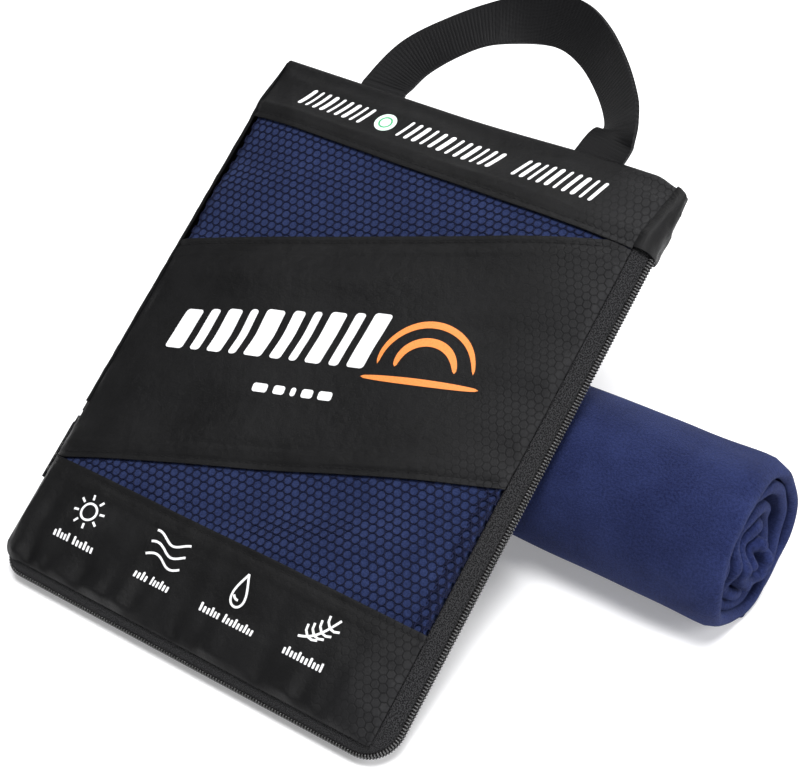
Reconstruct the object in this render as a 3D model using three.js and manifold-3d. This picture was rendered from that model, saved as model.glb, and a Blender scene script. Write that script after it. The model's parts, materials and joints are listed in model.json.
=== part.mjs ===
// A zipped pouch with mesh windows that holds a folded towel and leans back on a second, rolled towel.
// Millimetres, +Z up. The pouch is drawn flat in its own frame and then leaned back as one group:
// X runs to the right along its bottom edge, Y runs from its front to its back, Z runs up the pouch.

import * as THREE from "three";
import { mergeVertices } from "three/addons/utils/BufferGeometryUtils.js";
import Module from "manifold-3d";

const wasm = await Module();
wasm.setup();

// ---- driving dimensions ----

// The towels, cut alike. One is folded 2 by 3 inside the pouch, the other folded in half and rolled.
const towelWidth = 305;
const towelLength = 610;
const foldedThickness = 10;
const foldedOffMiddle = 12.5; // the front half is wider by this than a fold down the middle would give

// Room round the folded towel, which sets the pouch's size.
const leftRoom = 6.5;
const rightRoom = 8.5;
const bottomRoom = 8;
const topRoom = 18.67;
const depthRoom = 0.9;

const fabricThickness = 1;
const netThickness = 0.8;
const layerGap = 0.3; // clear space between pieces that are sewn or laid together
const netTuck = 6; // how far the net runs on behind a band
const netShort = 1.2; // how far it stops short of the panel's side seams

const topEdgeDepth = 5; // front to back across the folded top edge
const taperHeight = 23; // how far below the top edge the pouch starts to thin
const topEdgeSpread = 2.5; // how far the right seam runs out over that height
const rightCornerRadius = 14;
const leftCornerRadius = 10;
const rightCornerSharpness = 0.95; // 1 brings the panels' right corner to a point

const leftRimInset = 1.2; // the left side folds in this far under the front
const leftSeamInset = 1.5; // rim to panel seam, on the left
const bottomSeamInset = 5;
const rightSeamInset = 6.5;

const topBandHeight = 30;
const bottomBandHeight = 46.5;
const sashHeight = 97; // measured straight up the pouch at its left side
const sashWidening = 3; // how much more it measures at the right side
const sashLap = 2; // the sash starts this far below the bottom band's hem at the left side
const sashMeeting = 14.8; // from the right side to where the sash's upper edge meets the top band

const tapeThickness = 0.6;
const tapeTuck = 1; // how far inside the panel's face the tape is sewn on
const coilRadius = 1.1;
const coilGap = 1.1; // between the front and the rear coil
const coilStartHeight = 62; // top of the zip's run up the left side
const coilUnderBand = 1; // how far its run up the right side goes past the top band's hem
const tapeTail = 10; // tape that runs on past the coil on the left
const stopLength = 1.7;

const sliderLength = 12;
const sliderWidth = 9.2;
const sliderPlate = 1;
const sliderClearance = 0.3; // plate to coil
const dividerClearance = 0.25; // divider to each coil
const dividerLength = 2.5;
const bridgeWidth = 1.6;
const bridgeBar = 0.8;
const bridgeRoom = 1.8; // clear height under the bridge, where the pull's bar turns
const pullLength = 24;
const pullWidth = 7;
const pullThickness = 0.9;
const pullClearance = 0.4; // bridge to the sides of the pull's slot

const foldPastCorner = 1.8; // where the opening front folds, past the left corner's bend
const foldGap = 0.4;

const webbingWidth = 20;
const webbingThickness = 1.6;
const leftFootInset = 44.7; // from the pouch's left side to the middle of the foot
const rightFootInset = 38.7; // the same from its right side
const handleRise = 47.6;
const handleLift = 1.4; // top edge to the axis that the handle bends about
const footDepth = 14; // webbing sewn in below the top edge
const footThickness = 1.2; // the same webbing, pressed flat by its seam

const rollRadius = 31.4;
const rollFlat = 0.6; // how much the roll's own weight flattens it
const rollPastPouch = 66.5; // how far its right end stands out past the pouch's right side
const rollTouchHeight = 128; // how far up the pouch the roll touches it
const rollRoom = 1.5; // room for the filled pouch to bulge towards the roll
const rollEndRound = 5;

// ---- derived sizes ----

const foldedWidth = towelWidth / 2 + foldedOffMiddle;
const rollLength = towelWidth / 2;
const foldedHeight = towelLength / 3;
const pouchWidth = leftRoom + foldedWidth + rightRoom;
const pouchHeight = bottomRoom + foldedHeight + topRoom;
const pouchDepth = foldedThickness + 2 * (depthRoom + netThickness + layerGap + fabricThickness);
const frontFace = -pouchDepth / 2;
const backFace = pouchDepth / 2;
const taperStart = pouchHeight - taperHeight;
const topShrink = topEdgeDepth / pouchDepth;
const topBandBottom = pouchHeight - topBandHeight;
const sashStart = bottomBandHeight - sashLap;
const sashSlope = (topBandBottom - sashStart - sashHeight) / (pouchWidth - sashMeeting);
const sashBottomSlope = sashSlope - sashWidening / pouchWidth;
const panelLeft = leftRimInset + leftSeamInset;
const panelRight = pouchWidth - rightSeamInset;
const netFront = frontFace + fabricThickness + layerGap;
const coilCentreY = coilGap / 2 + coilRadius;
const coilEndHeight = topBandBottom + coilUnderBand;
const leftFootX = leftFootInset;
const rightFootX = pouchWidth - rightFootInset;

// ---- colours ----

const black = { color: 0x232325, roughness: 0.85, metalness: 0 };
const tapeGrey = { color: 0x2c2c2e, roughness: 0.95, metalness: 0 };
const coilBlack = { color: 0x18181a, roughness: 0.45, metalness: 0 };
const netNavy = { color: 0x15171f, roughness: 0.8, metalness: 0 };
const towelNavy = { color: 0x2f3a78, roughness: 1, metalness: 0 };
const gunmetal = { color: 0x3a3a3c, roughness: 0.35, metalness: 0.9 };

// ---- closed solids ----

function solidOf(geometry) {
  const bare = geometry.index ? geometry.toNonIndexed() : geometry.clone();
  bare.deleteAttribute("normal");
  bare.deleteAttribute("uv");
  const merged = mergeVertices(bare, 1e-4);
  return new wasm.Manifold(
    new wasm.Mesh({
      numProp: 3,
      vertProperties: merged.attributes.position.array,
      triVerts: new Uint32Array(merged.index.array),
    }),
  );
}

function geometryOf(solid) {
  const mesh = solid.getMesh();
  const geometry = new THREE.BufferGeometry();
  geometry.setAttribute("position", new THREE.BufferAttribute(mesh.vertProperties, 3));
  geometry.setIndex(new THREE.BufferAttribute(mesh.triVerts, 1));
  geometry.computeVertexNormals();
  return geometry;
}

function shapeOf(points) {
  return new THREE.Shape(points.map(([a, b]) => new THREE.Vector2(a, b)));
}

// An outline in X and Z, with its front face at nearY and its back face at farY.
function plate(points, nearY, farY) {
  const geometry = new THREE.ExtrudeGeometry(shapeOf(points), { depth: farY - nearY, bevelEnabled: false });
  geometry.translate(0, 0, -farY);
  geometry.rotateX(Math.PI / 2);
  return solidOf(geometry);
}

// A profile in Y and Z, run along X.
function bar(points, nearX, farX) {
  const geometry = new THREE.ExtrudeGeometry(shapeOf(points), { depth: farX - nearX, bevelEnabled: false });
  geometry.translate(0, 0, nearX);
  const turn = new THREE.Matrix4().makeBasis(
    new THREE.Vector3(0, 1, 0),
    new THREE.Vector3(0, 0, 1),
    new THREE.Vector3(1, 0, 0),
  );
  geometry.applyMatrix4(turn);
  return solidOf(geometry);
}

function block(x0, x1, y0, y1, z0, z1) {
  const geometry = new THREE.BoxGeometry(x1 - x0, y1 - y0, z1 - z0);
  geometry.translate((x0 + x1) / 2, (y0 + y1) / 2, (z0 + z1) / 2);
  return solidOf(geometry);
}

// A closed solid through rings of points, capped at both ends. section is one ring, laid flat.
function loft(rings, section) {
  const clockwise = THREE.ShapeUtils.isClockWise(section);
  const flatSection = clockwise ? section.slice().reverse() : section;
  const ordered = clockwise ? rings.map((ring) => ring.slice().reverse()) : rings;
  const count = flatSection.length;
  const last = (rings.length - 1) * count;
  const index = [];
  for (let low = 0; low < last; low += count) {
    for (let side = 0; side < count; side++) {
      const a = low + side;
      const b = low + ((side + 1) % count);
      index.push(a, b, b + count, a, b + count, a + count);
    }
  }
  for (const [a, b, c] of THREE.ShapeUtils.triangulateShape(flatSection, [])) {
    index.push(c, b, a);
    index.push(last + a, last + b, last + c);
  }
  const positions = ordered.flat().flatMap((point) => [point.x, point.y, point.z]);
  const geometry = new THREE.BufferGeometry();
  geometry.setAttribute("position", new THREE.Float32BufferAttribute(positions, 3));
  geometry.setIndex(index);
  const solid = solidOf(geometry);
  if (solid.volume() > 0) return solid;
  geometry.setIndex(index.reverse());
  return solidOf(geometry);
}

// ---- the rim, from the top of the zip's left run, round the bottom, to the top of the right side ----

function rimStations(topLeft, topRight) {
  const stations = [];
  const add = (x, z, inX, inZ, inset) => stations.push({ x, z, inX, inZ, inset });
  const arcSteps = 8;
  add(leftRimInset, topLeft, 1, 0, leftSeamInset);
  for (let i = 0; i <= arcSteps; i++) {
    const turn = ((i / arcSteps) * Math.PI) / 2;
    const inX = Math.cos(turn);
    const inZ = Math.sin(turn);
    const inset = THREE.MathUtils.lerp(leftSeamInset, bottomSeamInset, inZ);
    const centreX = leftRimInset + leftCornerRadius;
    add(centreX - leftCornerRadius * inX, leftCornerRadius * (1 - inZ), inX, inZ, inset);
  }
  // Here the panels' seam runs nearly square, inside the rounded rim.
  const seamX = rightCornerRadius - rightSeamInset;
  const seamZ = rightCornerRadius - bottomSeamInset;
  const cornerReach = Math.hypot(seamX, seamZ) * rightCornerSharpness;
  for (let i = 0; i <= arcSteps; i++) {
    const turn = ((i / arcSteps) * Math.PI) / 2;
    const inX = -Math.sin(turn);
    const inZ = Math.cos(turn);
    const seam = Math.min(cornerReach, seamZ / Math.max(inZ, 0.01), seamX / Math.max(-inX, 0.01));
    const inset = rightCornerRadius - seam;
    const centreX = pouchWidth - rightCornerRadius;
    add(centreX - rightCornerRadius * inX, rightCornerRadius * (1 - inZ), inX, inZ, inset);
  }
  add(pouchWidth, topRight, -1, 0, rightSeamInset);
  return stations;
}

// Runs a section round the rim. Its points are [distance in from the rim, Y].
function rimSweep(topLeft, topRight, sectionAt) {
  const stations = rimStations(topLeft, topRight);
  const rings = stations.map((at) =>
    sectionAt(at).map(([inward, y]) => new THREE.Vector3(at.x + at.inX * inward, y, at.z + at.inZ * inward)),
  );
  const flat = sectionAt(stations[0]).map(([inward, y]) => new THREE.Vector2(inward, y));
  return loft(rings, flat);
}

// ---- the split along which the front folds open ----

const foldStartX = leftRimInset + leftCornerRadius + foldPastCorner;
const foldEndX = panelRight + layerGap;
const foldEndZ = coilEndHeight + 0.5;
const foldDirection = new THREE.Vector2(foldEndX - foldStartX, foldEndZ).normalize();

function foldSide(sign) {
  const reach = 2 * (pouchWidth + pouchHeight);
  const across = new THREE.Vector2(foldDirection.y, -foldDirection.x).multiplyScalar(sign);
  const start = new THREE.Vector2(foldStartX, 0).addScaledVector(across, foldGap / 2);
  const low = start.clone().addScaledVector(foldDirection, -reach);
  const high = start.clone().addScaledVector(foldDirection, reach);
  const farHigh = high.clone().addScaledVector(across, reach);
  const farLow = low.clone().addScaledVector(across, reach);
  return plate([low, high, farHigh, farLow].map((p) => [p.x, p.y]), -pouchDepth, pouchDepth);
}

const fixedSide = foldSide(-1);
const openingSide = foldSide(1);

// ---- outlines shared by the front and the back ----

// Towards the top edge the right seam runs out, as the side below it narrows.
function edgeSpreadAt(z) {
  return z > taperStart ? (topEdgeSpread * (z - taperStart)) / taperHeight : 0;
}

// The panels' outline, and that of a layer that stops a little short of it.
function panelOutline(short) {
  const stations = rimStations(pouchHeight, taperStart);
  const outline = stations.map((at) => [
    at.x + at.inX * (at.inset + short),
    at.z + at.inZ * (at.inset + short),
  ]);
  outline.push([panelRight + edgeSpreadAt(pouchHeight) - short, pouchHeight]);
  return outline;
}

function bandPiece(points) {
  const blank = plate(panelOutline(0), frontFace, frontFace + fabricThickness);
  return blank.intersect(plate(points, frontFace - 1, backFace));
}

function netPiece(points) {
  const blank = plate(panelOutline(netShort), netFront, netFront + netThickness);
  return blank.intersect(plate(points, frontFace - 1, backFace));
}

const sashBottomAt = (x) => sashStart + sashBottomSlope * x;
const sashTopAt = (x) => sashStart + sashHeight + sashSlope * x;

// The sash stops under the top band's hem and above the bottom band's.
function buildSash() {
  const lowMeetX = (bottomBandHeight + layerGap - sashStart) / sashBottomSlope;
  const highMeetX = (topBandBottom - layerGap - sashStart - sashHeight) / sashSlope;
  const outline = [
    [-1, bottomBandHeight + layerGap],
    [Math.max(lowMeetX, 0), bottomBandHeight + layerGap],
    [pouchWidth, sashBottomAt(pouchWidth)],
    [pouchWidth, topBandBottom - layerGap],
    [highMeetX, topBandBottom - layerGap],
    [-1, sashTopAt(-1)],
  ];
  return bandPiece(outline);
}

function buildBottomBand() {
  const outline = [
    [-1, -1],
    [pouchWidth, -1],
    [pouchWidth, bottomBandHeight],
    [-1, bottomBandHeight],
  ];
  return bandPiece(outline);
}

function buildUpperNet() {
  const tipX = (topBandBottom + netTuck - sashStart - sashHeight + netTuck) / sashSlope;
  const rightX = Math.min(tipX - 1, panelRight - layerGap);
  const outline = [
    [-1, sashTopAt(-1) - netTuck],
    [rightX, sashTopAt(rightX) - netTuck],
    [rightX, topBandBottom + netTuck],
    [-1, topBandBottom + netTuck],
  ];
  return netPiece(outline);
}

function buildLowerNet() {
  const outline = [
    [-1, bottomBandHeight - netTuck],
    [pouchWidth, bottomBandHeight - netTuck],
    [pouchWidth, sashBottomAt(pouchWidth) + netTuck],
    [-1, sashBottomAt(-1) + netTuck],
  ];
  return netPiece(outline);
}

// The band covers the front's top, folds over the top edge and ends just behind it.
function buildTopBand() {
  const outer = topEdgeDepth / 2;
  const inner = outer - fabricThickness;
  const profile = [
    [frontFace, topBandBottom],
    [frontFace, taperStart],
    [-outer, pouchHeight - outer / 2],
    [-inner, pouchHeight - 0.3],
    [0, pouchHeight],
    [inner, pouchHeight - 0.3],
    [outer, pouchHeight - outer / 2],
    [inner, pouchHeight - outer / 2 - 0.4],
    [0, pouchHeight - fabricThickness],
    [-inner, pouchHeight - outer / 2 - 0.4],
    [frontFace + fabricThickness, taperStart],
    [frontFace + fabricThickness, topBandBottom],
  ];
  const outline = [
    [panelLeft, 0],
    [panelRight, 0],
    [panelRight, taperStart],
    [panelRight + edgeSpreadAt(pouchHeight + 1), pouchHeight + 1],
    [panelLeft, pouchHeight + 1],
  ];
  return bar(profile, 0, pouchWidth).intersect(plate(outline, frontFace - 1, backFace + 1));
}

function buildBackPanel() {
  const topY = topEdgeDepth / 2 + 0.8;
  const topZ = pouchHeight - topEdgeDepth / 2;
  const profile = [
    [backFace, 0],
    [backFace, taperStart],
    [topY, topZ],
    [topY - fabricThickness, topZ],
    [backFace - fabricThickness, taperStart],
    [backFace - fabricThickness, 0],
  ];
  return bar(profile, 0, pouchWidth).intersect(plate(panelOutline(0), frontFace, backFace + 1));
}

// ---- side gussets: a folded strip whose depth follows the pouch's taper ----

function depthShareAt(z) {
  if (z <= taperStart) return 1;
  return THREE.MathUtils.lerp(1, topShrink, (z - taperStart) / taperHeight);
}

function gussetSection(reach) {
  const wall = fabricThickness * 0.8;
  return [
    [reach, frontFace],
    [reach * 0.35, frontFace * 0.82],
    [0, frontFace * 0.45],
    [0, backFace * 0.45],
    [reach * 0.35, backFace * 0.82],
    [reach, backFace],
    [reach, backFace - wall * 1.6],
    [reach * 0.35 + wall, backFace * 0.72],
    [wall, backFace * 0.42],
    [wall, frontFace * 0.42],
    [reach * 0.35 + wall, frontFace * 0.72],
    [reach, frontFace + wall * 1.6],
  ];
}

function buildGusset(edgeX, inSign, reachAt, fromZ, toZ) {
  const rings = [fromZ, taperStart, toZ].map((z) =>
    gussetSection(reachAt(z)).map(
      ([inward, y]) => new THREE.Vector3(edgeX + inSign * inward, y * depthShareAt(z), z),
    ),
  );
  return loft(rings, gussetSection(reachAt(fromZ)).map(([inward, y]) => new THREE.Vector2(inward, y)));
}

// ---- zip ----

const tapeInner = [2, coilCentreY + coilRadius + 0.75]; // where the tape meets the coil

// side is -1 for the front tape and 1 for the rear one.
function buildTape(side) {
  const sectionAt = (at) => {
    const outer = [at.inset - layerGap, backFace - tapeTuck];
    const along = new THREE.Vector2(tapeInner[0] - outer[0], tapeInner[1] - outer[1]).normalize();
    const half = tapeThickness / 2;
    const offX = -along.y * half;
    const offY = along.x * half;
    return [
      [outer[0] - half + offX, side * (outer[1] + offY)],
      [tapeInner[0] + offX, side * (tapeInner[1] + offY)],
      [tapeInner[0] - offX, side * (tapeInner[1] - offY)],
      [outer[0] - half - offX, side * (outer[1] - offY)],
    ];
  };
  return rimSweep(coilStartHeight + tapeTail, coilEndHeight, sectionAt);
}

function coilSection(side, radius) {
  const sides = 6;
  return Array.from({ length: sides }, (_, i) => {
    const turn = ((i + 0.5) / sides) * 2 * Math.PI;
    return [coilRadius + radius * Math.cos(turn), side * coilCentreY + radius * Math.sin(turn)];
  });
}

function buildCoil(side) {
  return rimSweep(coilStartHeight, coilEndHeight, () => coilSection(side, coilRadius));
}

function buildStartStop(side) {
  const low = coilStartHeight + layerGap;
  return block(
    leftRimInset + 0.2,
    leftRimInset + 2 * coilRadius - 0.2,
    side * coilCentreY - coilRadius + 0.3,
    side * coilCentreY + coilRadius - 0.3,
    low,
    low + stopLength,
  );
}

function buildEndStop() {
  const low = coilEndHeight + layerGap;
  const reach = coilCentreY + coilRadius;
  return block(pouchWidth - 2 * coilRadius, pouchWidth - 0.2, -reach, reach, low, low + stopLength);
}

function buildStartTab() {
  const low = coilStartHeight + stopLength + 2.5;
  const reach = backFace * 0.6;
  return block(leftRimInset - 0.9, leftRimInset + 0.3, -reach, reach, low, coilStartHeight + tapeTail);
}

// ---- slider and pull, at the closed end of the zip ----

const sliderTop = coilStartHeight + stopLength + layerGap;
const sliderBottom = sliderTop - sliderLength;
const outerPlateX = leftRimInset - sliderClearance - sliderPlate;
const innerPlateX = leftRimInset + 2 * coilRadius + sliderClearance;
const bridgeTopX = outerPlateX - bridgeRoom - bridgeBar;
const bridgeTop = sliderTop - 1.6;
const bridgeBottom = sliderBottom + 1.6;
const pullAxisX = outerPlateX - bridgeRoom / 2;
const pullAxisZ = bridgeTop - bridgeBar - pullThickness;

function buildSliderBody() {
  const outerPlate = block(
    outerPlateX,
    outerPlateX + sliderPlate,
    -sliderWidth / 2,
    sliderWidth / 2,
    sliderBottom,
    sliderTop,
  );
  const innerPlate = block(
    innerPlateX,
    innerPlateX + sliderPlate,
    -sliderWidth * 0.37,
    sliderWidth * 0.37,
    sliderBottom,
    sliderTop,
  );
  const dividerHalf = coilGap / 2 - dividerClearance;
  const divider = block(
    outerPlateX + sliderPlate / 2,
    innerPlateX + sliderPlate / 2,
    -dividerHalf,
    dividerHalf,
    sliderTop - dividerLength,
    sliderTop,
  );
  const archOuter = block(
    bridgeTopX,
    outerPlateX + sliderPlate / 2,
    -bridgeWidth / 2,
    bridgeWidth / 2,
    bridgeBottom,
    bridgeTop,
  );
  const archRoom = block(
    bridgeTopX + bridgeBar,
    outerPlateX,
    -bridgeWidth,
    bridgeWidth,
    bridgeBottom + bridgeBar,
    bridgeTop - bridgeBar,
  );
  return outerPlate.add(innerPlate).add(divider).add(archOuter.subtract(archRoom));
}

function buildPull() {
  const half = pullThickness / 2;
  const slotHalf = bridgeWidth / 2 + pullClearance;
  const slotLength = bridgeTop - bridgeBottom + 1;
  const body = block(
    pullAxisX - half,
    pullAxisX + half,
    -pullWidth / 2,
    pullWidth / 2,
    pullAxisZ + half - pullLength,
    pullAxisZ + half,
  );
  const slot = block(
    pullAxisX - pullThickness,
    pullAxisX + pullThickness,
    -slotHalf,
    slotHalf,
    pullAxisZ - half - slotLength,
    pullAxisZ - half,
  );
  return body.subtract(slot);
}

// ---- handle: webbing that rises from the top edge, arches over and turns a little on the way ----

const handleAxisZ = pouchHeight + handleLift;
// [share of the span, share of the rise, degrees that the webbing turns out of the pouch's plane]
const handleRoute = [
  [0, 0, 0],
  [0.055, 0.325, 0],
  [0.173, 0.61, 6],
  [0.306, 0.83, 4],
  [0.479, 0.98, -15],
  [0.624, 1, -28],
  [0.759, 0.88, -38],
  [0.892, 0.66, -42],
  [0.985, 0.44, -38],
  [1.012, 0.21, -22],
  [1, 0, 0],
];

function buildHandle() {
  const span = rightFootX - leftFootX;
  const curve = new THREE.CatmullRomCurve3(
    handleRoute.map(([across, up]) => new THREE.Vector3(leftFootX + span * across, 0, handleAxisZ + handleRise * up)),
    false,
    "centripetal",
  );
  const turns = new THREE.CatmullRomCurve3(
    handleRoute.map(([, , degrees]) => new THREE.Vector3(degrees, 0, 0)),
    false,
    "centripetal",
  );
  const steps = 30;
  const halfWidth = webbingWidth / 2;
  const halfThickness = webbingThickness / 2;
  const front = new THREE.Vector3(0, -1, 0);
  const rings = [];
  for (let i = 0; i <= steps; i++) {
    const share = i / steps;
    const centre = curve.getPoint(share);
    const along = curve.getTangent(share);
    if (i === 0) along.set(0, 0, 1);
    if (i === steps) along.set(0, 0, -1);
    const inward = new THREE.Vector3(along.z, 0, -along.x);
    const turn = THREE.MathUtils.degToRad(turns.getPoint(share).x);
    const across = inward.multiplyScalar(Math.cos(turn)).addScaledVector(front, Math.sin(turn));
    const through = new THREE.Vector3().crossVectors(along, across);
    const corner = (a, b) =>
      centre.clone().addScaledVector(across, a * halfWidth).addScaledVector(through, b * halfThickness);
    rings.push([corner(-1, -1), corner(1, -1), corner(1, 1), corner(-1, 1)]);
  }
  const flat = [
    [-1, -1],
    [1, -1],
    [1, 1],
    [-1, 1],
  ].map(([a, b]) => new THREE.Vector2(a, b));
  return loft(rings, flat);
}

// The webbing's ends, sewn in between the top band and the back panel.
function buildHandleEnd(centreX) {
  const half = webbingWidth / 2;
  const top = pouchHeight - fabricThickness - layerGap;
  return block(centreX - half, centreX + half, -footThickness / 2, footThickness / 2, top - footDepth, top);
}

// ---- towels ----

function buildFoldedTowel() {
  const round = 6;
  const shape = new THREE.Shape();
  const x0 = leftRoom;
  const x1 = x0 + foldedWidth;
  const z0 = bottomRoom;
  const z1 = z0 + foldedHeight;
  shape.moveTo(x0 + round, z0);
  shape.lineTo(x1 - round, z0);
  shape.absarc(x1 - round, z0 + round, round, -Math.PI / 2, 0, false);
  shape.lineTo(x1, z1 - round);
  shape.absarc(x1 - round, z1 - round, round, 0, Math.PI / 2, false);
  shape.lineTo(x0 + round, z1);
  shape.absarc(x0 + round, z1 - round, round, Math.PI / 2, Math.PI, false);
  shape.lineTo(x0, z0 + round);
  shape.absarc(x0 + round, z0 + round, round, Math.PI, 1.5 * Math.PI, false);
  const points = shape.getPoints(4).map((p) => [p.x, p.y]);
  return plate(points, -foldedThickness / 2, foldedThickness / 2);
}

// The roll lies along X, its underside flattened where it rests.
function buildRoll() {
  const length = rollLength;
  const profile = [new THREE.Vector2(0, 0)];
  const arcSteps = 4;
  for (let i = 0; i <= arcSteps; i++) {
    const turn = (i / arcSteps) * (Math.PI / 2);
    const radius = rollRadius - rollEndRound * (1 - Math.sin(turn));
    profile.push(new THREE.Vector2(radius, rollEndRound * (1 - Math.cos(turn))));
  }
  for (let i = 0; i <= arcSteps; i++) {
    const turn = (i / arcSteps) * (Math.PI / 2);
    const radius = rollRadius - rollEndRound * (1 - Math.cos(turn));
    profile.push(new THREE.Vector2(radius, length - rollEndRound * (1 - Math.sin(turn))));
  }
  profile.push(new THREE.Vector2(0, length));
  const geometry = new THREE.LatheGeometry(profile, 40);
  geometry.rotateZ(-Math.PI / 2);
  const round = solidOf(geometry);
  const keep = block(-1, length + 1, -rollRadius - 1, rollRadius + 1, -rollRadius + rollFlat, rollRadius + 1);
  return round.intersect(keep);
}

// ---- assembly ----

function add(group, name, solid, look) {
  const mesh = new THREE.Mesh(geometryOf(solid), new THREE.MeshStandardMaterial(look));
  mesh.name = name;
  group.add(mesh);
  return mesh;
}

const pouch = new THREE.Group();

const splitPieces = [
  ["centre_sash", buildSash(), black],
  ["lower_net", buildLowerNet(), netNavy],
  ["bottom_band", buildBottomBand(), black],
  ["front_zip_tape", buildTape(-1), tapeGrey],
  ["front_zip_coil", buildCoil(-1), coilBlack],
];
for (const [name, whole, look] of splitPieces) {
  add(pouch, name + "_fixed", whole.intersect(fixedSide), look);
  add(pouch, name + "_opening", whole.intersect(openingSide), look);
}

add(pouch, "top_band", buildTopBand(), black);
add(pouch, "upper_net", buildUpperNet(), netNavy);
add(pouch, "back_panel", buildBackPanel(), black);
const gussetTop = pouchHeight - topEdgeDepth / 2;
const leftGussetStart = coilStartHeight + tapeTail + layerGap;
const rightGussetStart = coilEndHeight + 2 * layerGap + stopLength;
const leftReachAt = () => panelLeft - layerGap;
const garageReachAt = (z) => rightSeamInset - layerGap - edgeSpreadAt(z);
add(pouch, "left_gusset", buildGusset(0, 1, leftReachAt, leftGussetStart, gussetTop), black);
add(pouch, "zip_garage", buildGusset(pouchWidth, -1, garageReachAt, rightGussetStart, gussetTop), black);
add(pouch, "rear_zip_tape", buildTape(1), tapeGrey);
add(pouch, "rear_zip_coil", buildCoil(1), coilBlack);
add(pouch, "front_start_stop", buildStartStop(-1), gunmetal);
add(pouch, "rear_start_stop", buildStartStop(1), gunmetal);
add(pouch, "end_stop", buildEndStop(), gunmetal);
add(pouch, "zip_start_tab", buildStartTab(), black);
add(pouch, "slider_body", buildSliderBody(), gunmetal);
add(pouch, "pull_tab", buildPull(), gunmetal);
add(pouch, "handle_strap", buildHandle(), black);
add(pouch, "left_handle_end", buildHandleEnd(leftFootX), black);
add(pouch, "right_handle_end", buildHandleEnd(rightFootX), black);
add(pouch, "folded_towel", buildFoldedTowel(), towelNavy);

// The lean follows from the roll: the table passes under the pouch's back bottom edge and under the roll.
const rollCentreY = backFace + rollRoom + rollRadius;
const reachY = rollCentreY - backFace;
const reachZ = rollTouchHeight - bottomSeamInset;
const restRadius = rollRadius - rollFlat;
const reach = Math.hypot(reachY, reachZ);
const lean = Math.atan2(reachZ, reachY) - Math.asin(restRadius / reach);
pouch.rotation.x = -lean;
const restEdge = new THREE.Vector3(0, backFace, bottomSeamInset).applyEuler(pouch.rotation);
pouch.position.set(0, -restEdge.y, -restEdge.z);

const assembly = new THREE.Group();
assembly.add(pouch);
const rolledTowel = add(assembly, "rolled_towel", buildRoll(), towelNavy);
const rollAlong = Math.sqrt(reach * reach - restRadius * restRadius);
rolledTowel.position.set(pouchWidth + rollPastPouch - rollLength, rollAlong, restRadius);

// The origin is the middle of the footprint, on the surface that the object stands on.
assembly.updateMatrixWorld(true);
const box = new THREE.Box3().setFromObject(assembly, true);
const middle = box.getCenter(new THREE.Vector3());
assembly.position.set(-middle.x, -middle.y, -box.min.z);

export default assembly;
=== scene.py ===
import json
import math

import bmesh
import bpy
from mathutils import Matrix, Vector, noise


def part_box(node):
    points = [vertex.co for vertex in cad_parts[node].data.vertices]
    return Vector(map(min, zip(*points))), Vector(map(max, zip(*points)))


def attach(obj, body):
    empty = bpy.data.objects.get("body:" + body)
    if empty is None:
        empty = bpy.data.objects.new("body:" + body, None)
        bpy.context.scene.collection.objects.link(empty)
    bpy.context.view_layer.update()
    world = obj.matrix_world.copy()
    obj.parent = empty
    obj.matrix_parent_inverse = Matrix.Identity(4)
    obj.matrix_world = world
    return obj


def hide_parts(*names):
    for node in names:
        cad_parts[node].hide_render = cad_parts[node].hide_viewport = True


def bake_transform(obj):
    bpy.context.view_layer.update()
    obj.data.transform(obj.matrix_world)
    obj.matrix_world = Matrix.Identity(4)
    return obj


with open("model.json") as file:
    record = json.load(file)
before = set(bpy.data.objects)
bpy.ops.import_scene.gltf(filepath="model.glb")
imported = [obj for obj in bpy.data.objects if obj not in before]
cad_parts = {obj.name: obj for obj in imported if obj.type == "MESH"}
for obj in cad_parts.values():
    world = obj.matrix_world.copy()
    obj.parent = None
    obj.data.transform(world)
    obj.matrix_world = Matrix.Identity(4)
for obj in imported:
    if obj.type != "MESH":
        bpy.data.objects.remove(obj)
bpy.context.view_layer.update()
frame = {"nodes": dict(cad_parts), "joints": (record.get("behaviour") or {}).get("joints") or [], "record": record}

# the pouch's own space is in millimetres: x right, y front to back, z up the pouch
joints = {joint["name"]: joint for joint in frame["joints"]}
mounts = {mount["name"]: mount for mount in frame["record"]["mounts"]}
pouchUp = -Vector(joints["slider_run"]["axis"]).normalized()
pouchBack = Vector(joints["pull_swing"]["axis"]).normalized()
pouchRight = pouchBack.cross(pouchUp)
backMount = Vector((90, 8, 40))  # where the back's mount sits in the pouch's own space

pouchTurn = Matrix((pouchRight, pouchBack, pouchUp)).transposed().to_4x4()
pouchOrigin = Vector(mounts["pouch_back"]["pos_m"]) - pouchTurn.to_3x3() @ (backMount * 0.001)
toWorld = Matrix.Translation(pouchOrigin) @ pouchTurn @ Matrix.Scale(0.001, 4)
millimetres = Matrix.Scale(0.001, 4)

pouch = {
    "width": 180, "height": 230, "depth": 16, "taperStart": 207, "topDepth": 5, "topSpread": 2.5,
    "leftRim": 1.2, "leftRadius": 10, "rightRadius": 14, "seamRound": 1.5, "sharpness": 0.95,
    "leftSpread": 2.6, "leftInset": 1.5, "bottomInset": 5, "rightInset": 6.5,
    "bulge": 2.7, "backBulge": 1.1, "seamDrop": 0.9, "seamRoll": 3.2,
}
bands = {"topHem": 200, "bottomHem": 46.5, "sashStart": 44.5, "sashHeight": 97, "sashSlope": 0.3541,
         "lowSlope": 0.3374, "gap": 0.3, "hem": 7.5, "stitchIn": 2.4, "grooveWidth": 0.75}
fold = {"start": Vector((13, -8, 0)), "end": Vector((173.8, -8, 201.5)), "reach": 12}

panelLeft = pouch["leftRim"] + pouch["leftInset"]
panelRight = pouch["width"] - pouch["rightInset"]


def clamp(value, low=0.0, high=1.0):
    return max(low, min(high, value))


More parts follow.
